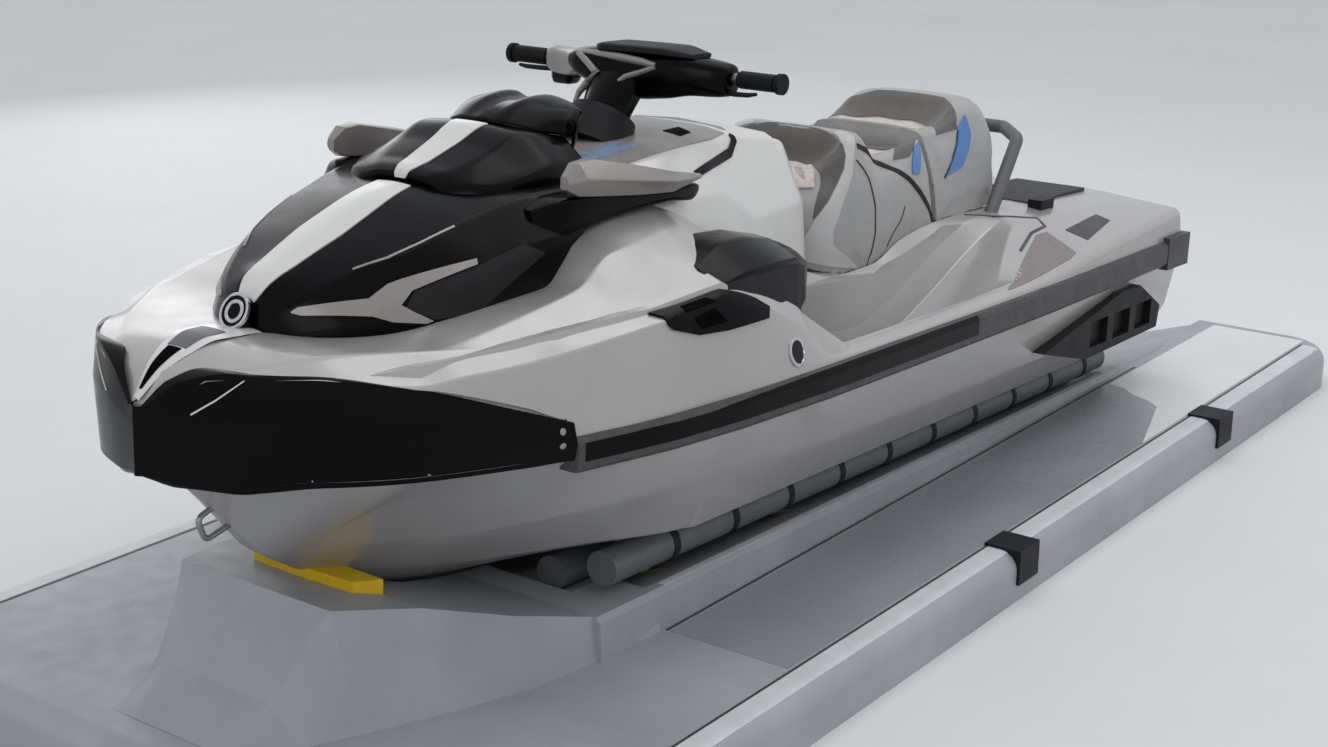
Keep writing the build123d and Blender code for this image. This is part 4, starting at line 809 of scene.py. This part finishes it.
tube("bar_trim_top", [
    (2040, -112, 1104), (2046, -60, 1106), (2050, 20, 1104), (2052, 80, 1100), (2050, 118, 1094)], [7, 9, 10, 9, 7],
    "steering", SILVER_TRIM_AND_HIGHLIGHT)
tube("bar_trim_starboard", [
    (2046, -112, 1104), (2056, -78, 1088), (2062, -44, 1066), (2072, -60, 1042), (2078, -80, 1018), (2090, -84, 996)],
    [7, 9, 11, 10, 8, 5], "steering", SILVER_TRIM_AND_HIGHLIGHT)
tube("bar_trim_port", [
    (2050, 118, 1092), (2058, 84, 1078), (2064, 44, 1064), (2072, 20, 1044), (2080, 11, 1016), (2090, 10, 984)],
    [6, 6, 7, 7, 5, 4], "steering", SILVER_TRIM_AND_HIGHLIGHT)
tube("throttle_lever", [
    (1962, -262, 1046), (1972, -290, 1046), (1976, -330, 1046), (1974, -352, 1048)], [6, 6, 5.5, 4], "steering", DARK)
tube("brake_lever", [
    (1962, 258, 1040), (1972, 284, 1040), (1976, 324, 1042), (1974, 346, 1046)], [6, 6, 5.5, 4], "steering", DARK)
GRIP_Y, RIB_PITCH, RIB_RADII = 284, 3.6, [19.0, 20.6] * 14
for side, mark in SIDES:
    tube(f"grip_ribs_{mark}", [
        (1948, side * (GRIP_Y + RIB_PITCH * i), 1071) for i in range(len(RIB_RADII))], RIB_RADII, "steering", GRIP,
        sides=22)

# Port: outer ridge, painted shade in the groove and along the curb's foot, a painted highlight on the curb's crown,
# wet and dry deck
PORT_TOP = 370
float_tree = tree_of(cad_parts["port_float"])
stations = np.linspace(-1980, 1960, 36)
laid = {"place": metres, "lift": 1}
edge = [(-1209, 486), (-1196, 540), (-1150, 590), (-1130, 640), (-1090, 690), (-960, 730), (-760, 790)]
both(panel, "port_ridge_{}", [
    (x, 806, PORT_TOP, x, 858, 366) for x in stations], float_tree, "root", RIM_AND_CROWN_HIGHLIGHT, along=1, place=metres)
# Painted shade along the port's groove and along the curb's foot
both(strip, "port_groove_{}", [(x, 801, PORT_TOP) for x in stations], 6, float_tree, "root", GROOVE_SHADE, along=1, **laid)
both(strip, "curb_foot_{}", [
    (x, 474, PORT_TOP) for x in np.linspace(-1420, 1030, 24)], 7, float_tree, "root", GROOVE_SHADE, along=1, **laid)
# Painted highlight along the curb's rounded crown
both(panel, "curb_crown_{}", [
    (x, 428, 385 + 0.034 * (x + 1300), x, 446, 385 + 0.034 * (x + 1300)) for x in np.linspace(-1240, 1000, 20)],
    float_tree, "root", RIM_AND_CROWN_HIGHLIGHT, along=1, **laid)
both(panel, "wet_deck_{}", [
    (x, y, PORT_TOP, 1030, y, PORT_TOP) for x, y in edge], float_tree, "root", WET, across=24, **laid)
both(panel, "dry_deck_{}", [
    (-2030, y, PORT_TOP, x, y, PORT_TOP) for x, y in edge], float_tree, "root", DRY, across=24, **laid)

# Bunk tubes and roller hubs: their middles lie this far below the hull, square to it
BUNK_DROP, BUNK_R, BAND_HALF, BAND_PITCH = 40.3, 38.5, 13, 232
HUB_DROP, HUB_Y, HUB_REACH = 50.3, 310, 24
HUB_PROFILE = [(34, -1), (34, 1.6), (30, 2.4), (12, 2.4), (11, 1)]
BAND_PROFILE = [(-BAND_HALF, BUNK_R), (2 - BAND_HALF, 42.0), (BAND_HALF - 2, 42.0), (BAND_HALF, BUNK_R)]
BAND_RING = np.stack([np.zeros(20), *circle(20)], -1)
for side, mark in SIDES:
    for index, y in enumerate((240, 380)):
        z = np.tan(DEADRISE) * y - BUNK_DROP / np.cos(DEADRISE)
        points, faces = [], []
        for x in np.arange(230, 2500, BAND_PITCH):
            first = len(points)
            points += [np.array([x + along, side * y, z]) + r * q for along, r in BAND_PROFILE for q in BAND_RING]
            faces += [[first + i for i in f[::-1]] for f in grid_faces(len(BAND_PROFILE), len(BAND_RING), wrap=True)]
        mesh_piece(f"bunk_bands_{mark}_{index}", placed(points), faces, "root", DARK)
    axis = np.array([0, side * np.cos(DEADRISE), np.sin(DEADRISE)])
    for index, x in enumerate((210, 740, 1270, 1800, 2330), start=1):
        middle = np.array([x, side * HUB_Y, np.tan(DEADRISE) * HUB_Y - HUB_DROP / np.cos(DEADRISE)])
        for end, where in ((-1, "inner"), (1, "outer")):
            disc(f"hub_{mark}_{index}_{where}", middle + axis * end * HUB_REACH, HUB_PROFILE,
                f"roller_{mark}_{index}", DARK, axis=axis * end, sides=28)

# Edges of the carried-over solids, in mm
for node, size in {"port_float": 20, "sponsons": 6, "rub_rails": 5, "stern_bumpers": 8, "glovebox_lid": 8,
        "couplers": 6, "platform_cleats": 6, "reverse_gate": 3, "gate_brackets": 2, "ride_plate": 2,
        "steering_neck": 8, "column_collar": 4, "footwell_mats": 2, "platform_mats": 5, "pump_housing": 2}.items():
    bevelled(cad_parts[node], size)

# Floor
WATERLINE, HALF_FLOOR = 0.245, 30
floor_points = [(x * HALF_FLOOR, y * HALF_FLOOR, WATERLINE) for x, y in ((-1, -1), (1, -1), (1, 1), (-1, 1))]
FLOOR = finish_of("pale floor", "#dcdddd", "#d6d7d7", rough=0.7, mottle=(900, 0.6), grain=(3, 0.05))
floor = mesh_piece("floor", floor_points, [(0, 1, 2, 3)], None, FLOOR)

# Camera: its angles, place and focal length were fitted to the photo, FOCAL in pixels of its width
AZIMUTH, PITCH, ROLL = np.radians(-143.40), np.radians(-17.376), 0.0052934
CAMERA_SPOT, FOCAL, PHOTO_WIDTH, SENSOR = (4.233, 2.842, 2.203), 1994.9, 1328, 36


def axes_at(right, up, back, spot):
    """The matrix that turns an object's axes to these and moves it to the spot."""
    matrix = np.eye(4)
    matrix[:3] = np.column_stack([right, up, back, spot])
    return Matrix(matrix.tolist())


look = np.array([np.cos(PITCH) * np.cos(AZIMUTH), np.cos(PITCH) * np.sin(AZIMUTH), np.sin(PITCH)])
right = unit(np.cross(look, [0, 0, 1.0]))
up = np.cross(right, look)
right, up = np.cos(ROLL) * right + np.sin(ROLL) * up, np.cos(ROLL) * up - np.sin(ROLL) * right
camera = bpy.data.objects.new("camera", bpy.data.cameras.new("camera"))
bpy.context.scene.collection.objects.link(camera)
camera.matrix_world = axes_at(right, up, -look, CAMERA_SPOT)
camera.data.sensor_width, camera.data.lens, camera.data.clip_end = SENSOR, FOCAL / PHOTO_WIDTH * SENSOR, 100
bpy.context.scene.camera = camera

# Light: an overcast sky with broad soft panels: place, aim, size in m, power in W
world = bpy.data.worlds.new("sky")
bpy.context.scene.world = world
world.use_nodes = True
sky = world.node_tree.nodes["Background"]
sky.inputs["Color"].default_value, sky.inputs["Strength"].default_value = (0.80, 0.83, 0.87, 1), 0.85
for name, spot, aim, size, power in (("sky panel", (-1.5, 1.0, 6.0), (0.3, 0, 0.8), 6.0, 110),
        ("front panel", (6.5, 2.5, 3.2), (0.6, 0, 0.8), 3.0, 35),
        ("far panel", (-3.0, -6.0, 3.0), (0.0, 0, 0.8), 4.0, 45)):
    lamp = bpy.data.objects.new(name, bpy.data.lights.new(name, "AREA"))
    bpy.context.scene.collection.objects.link(lamp)
    lamp.data.shape, lamp.data.size, lamp.data.energy = "DISK", size, power
    back = unit(np.subtract(spot, aim))
    right = unit(np.cross([0, 0, 1.0] if abs(back[2]) < 0.95 else [1.0, 0, 0], back))
    lamp.matrix_world = axes_at(right, np.cross(back, right), back, spot)
bpy.context.scene.view_settings.view_transform = "Standard"
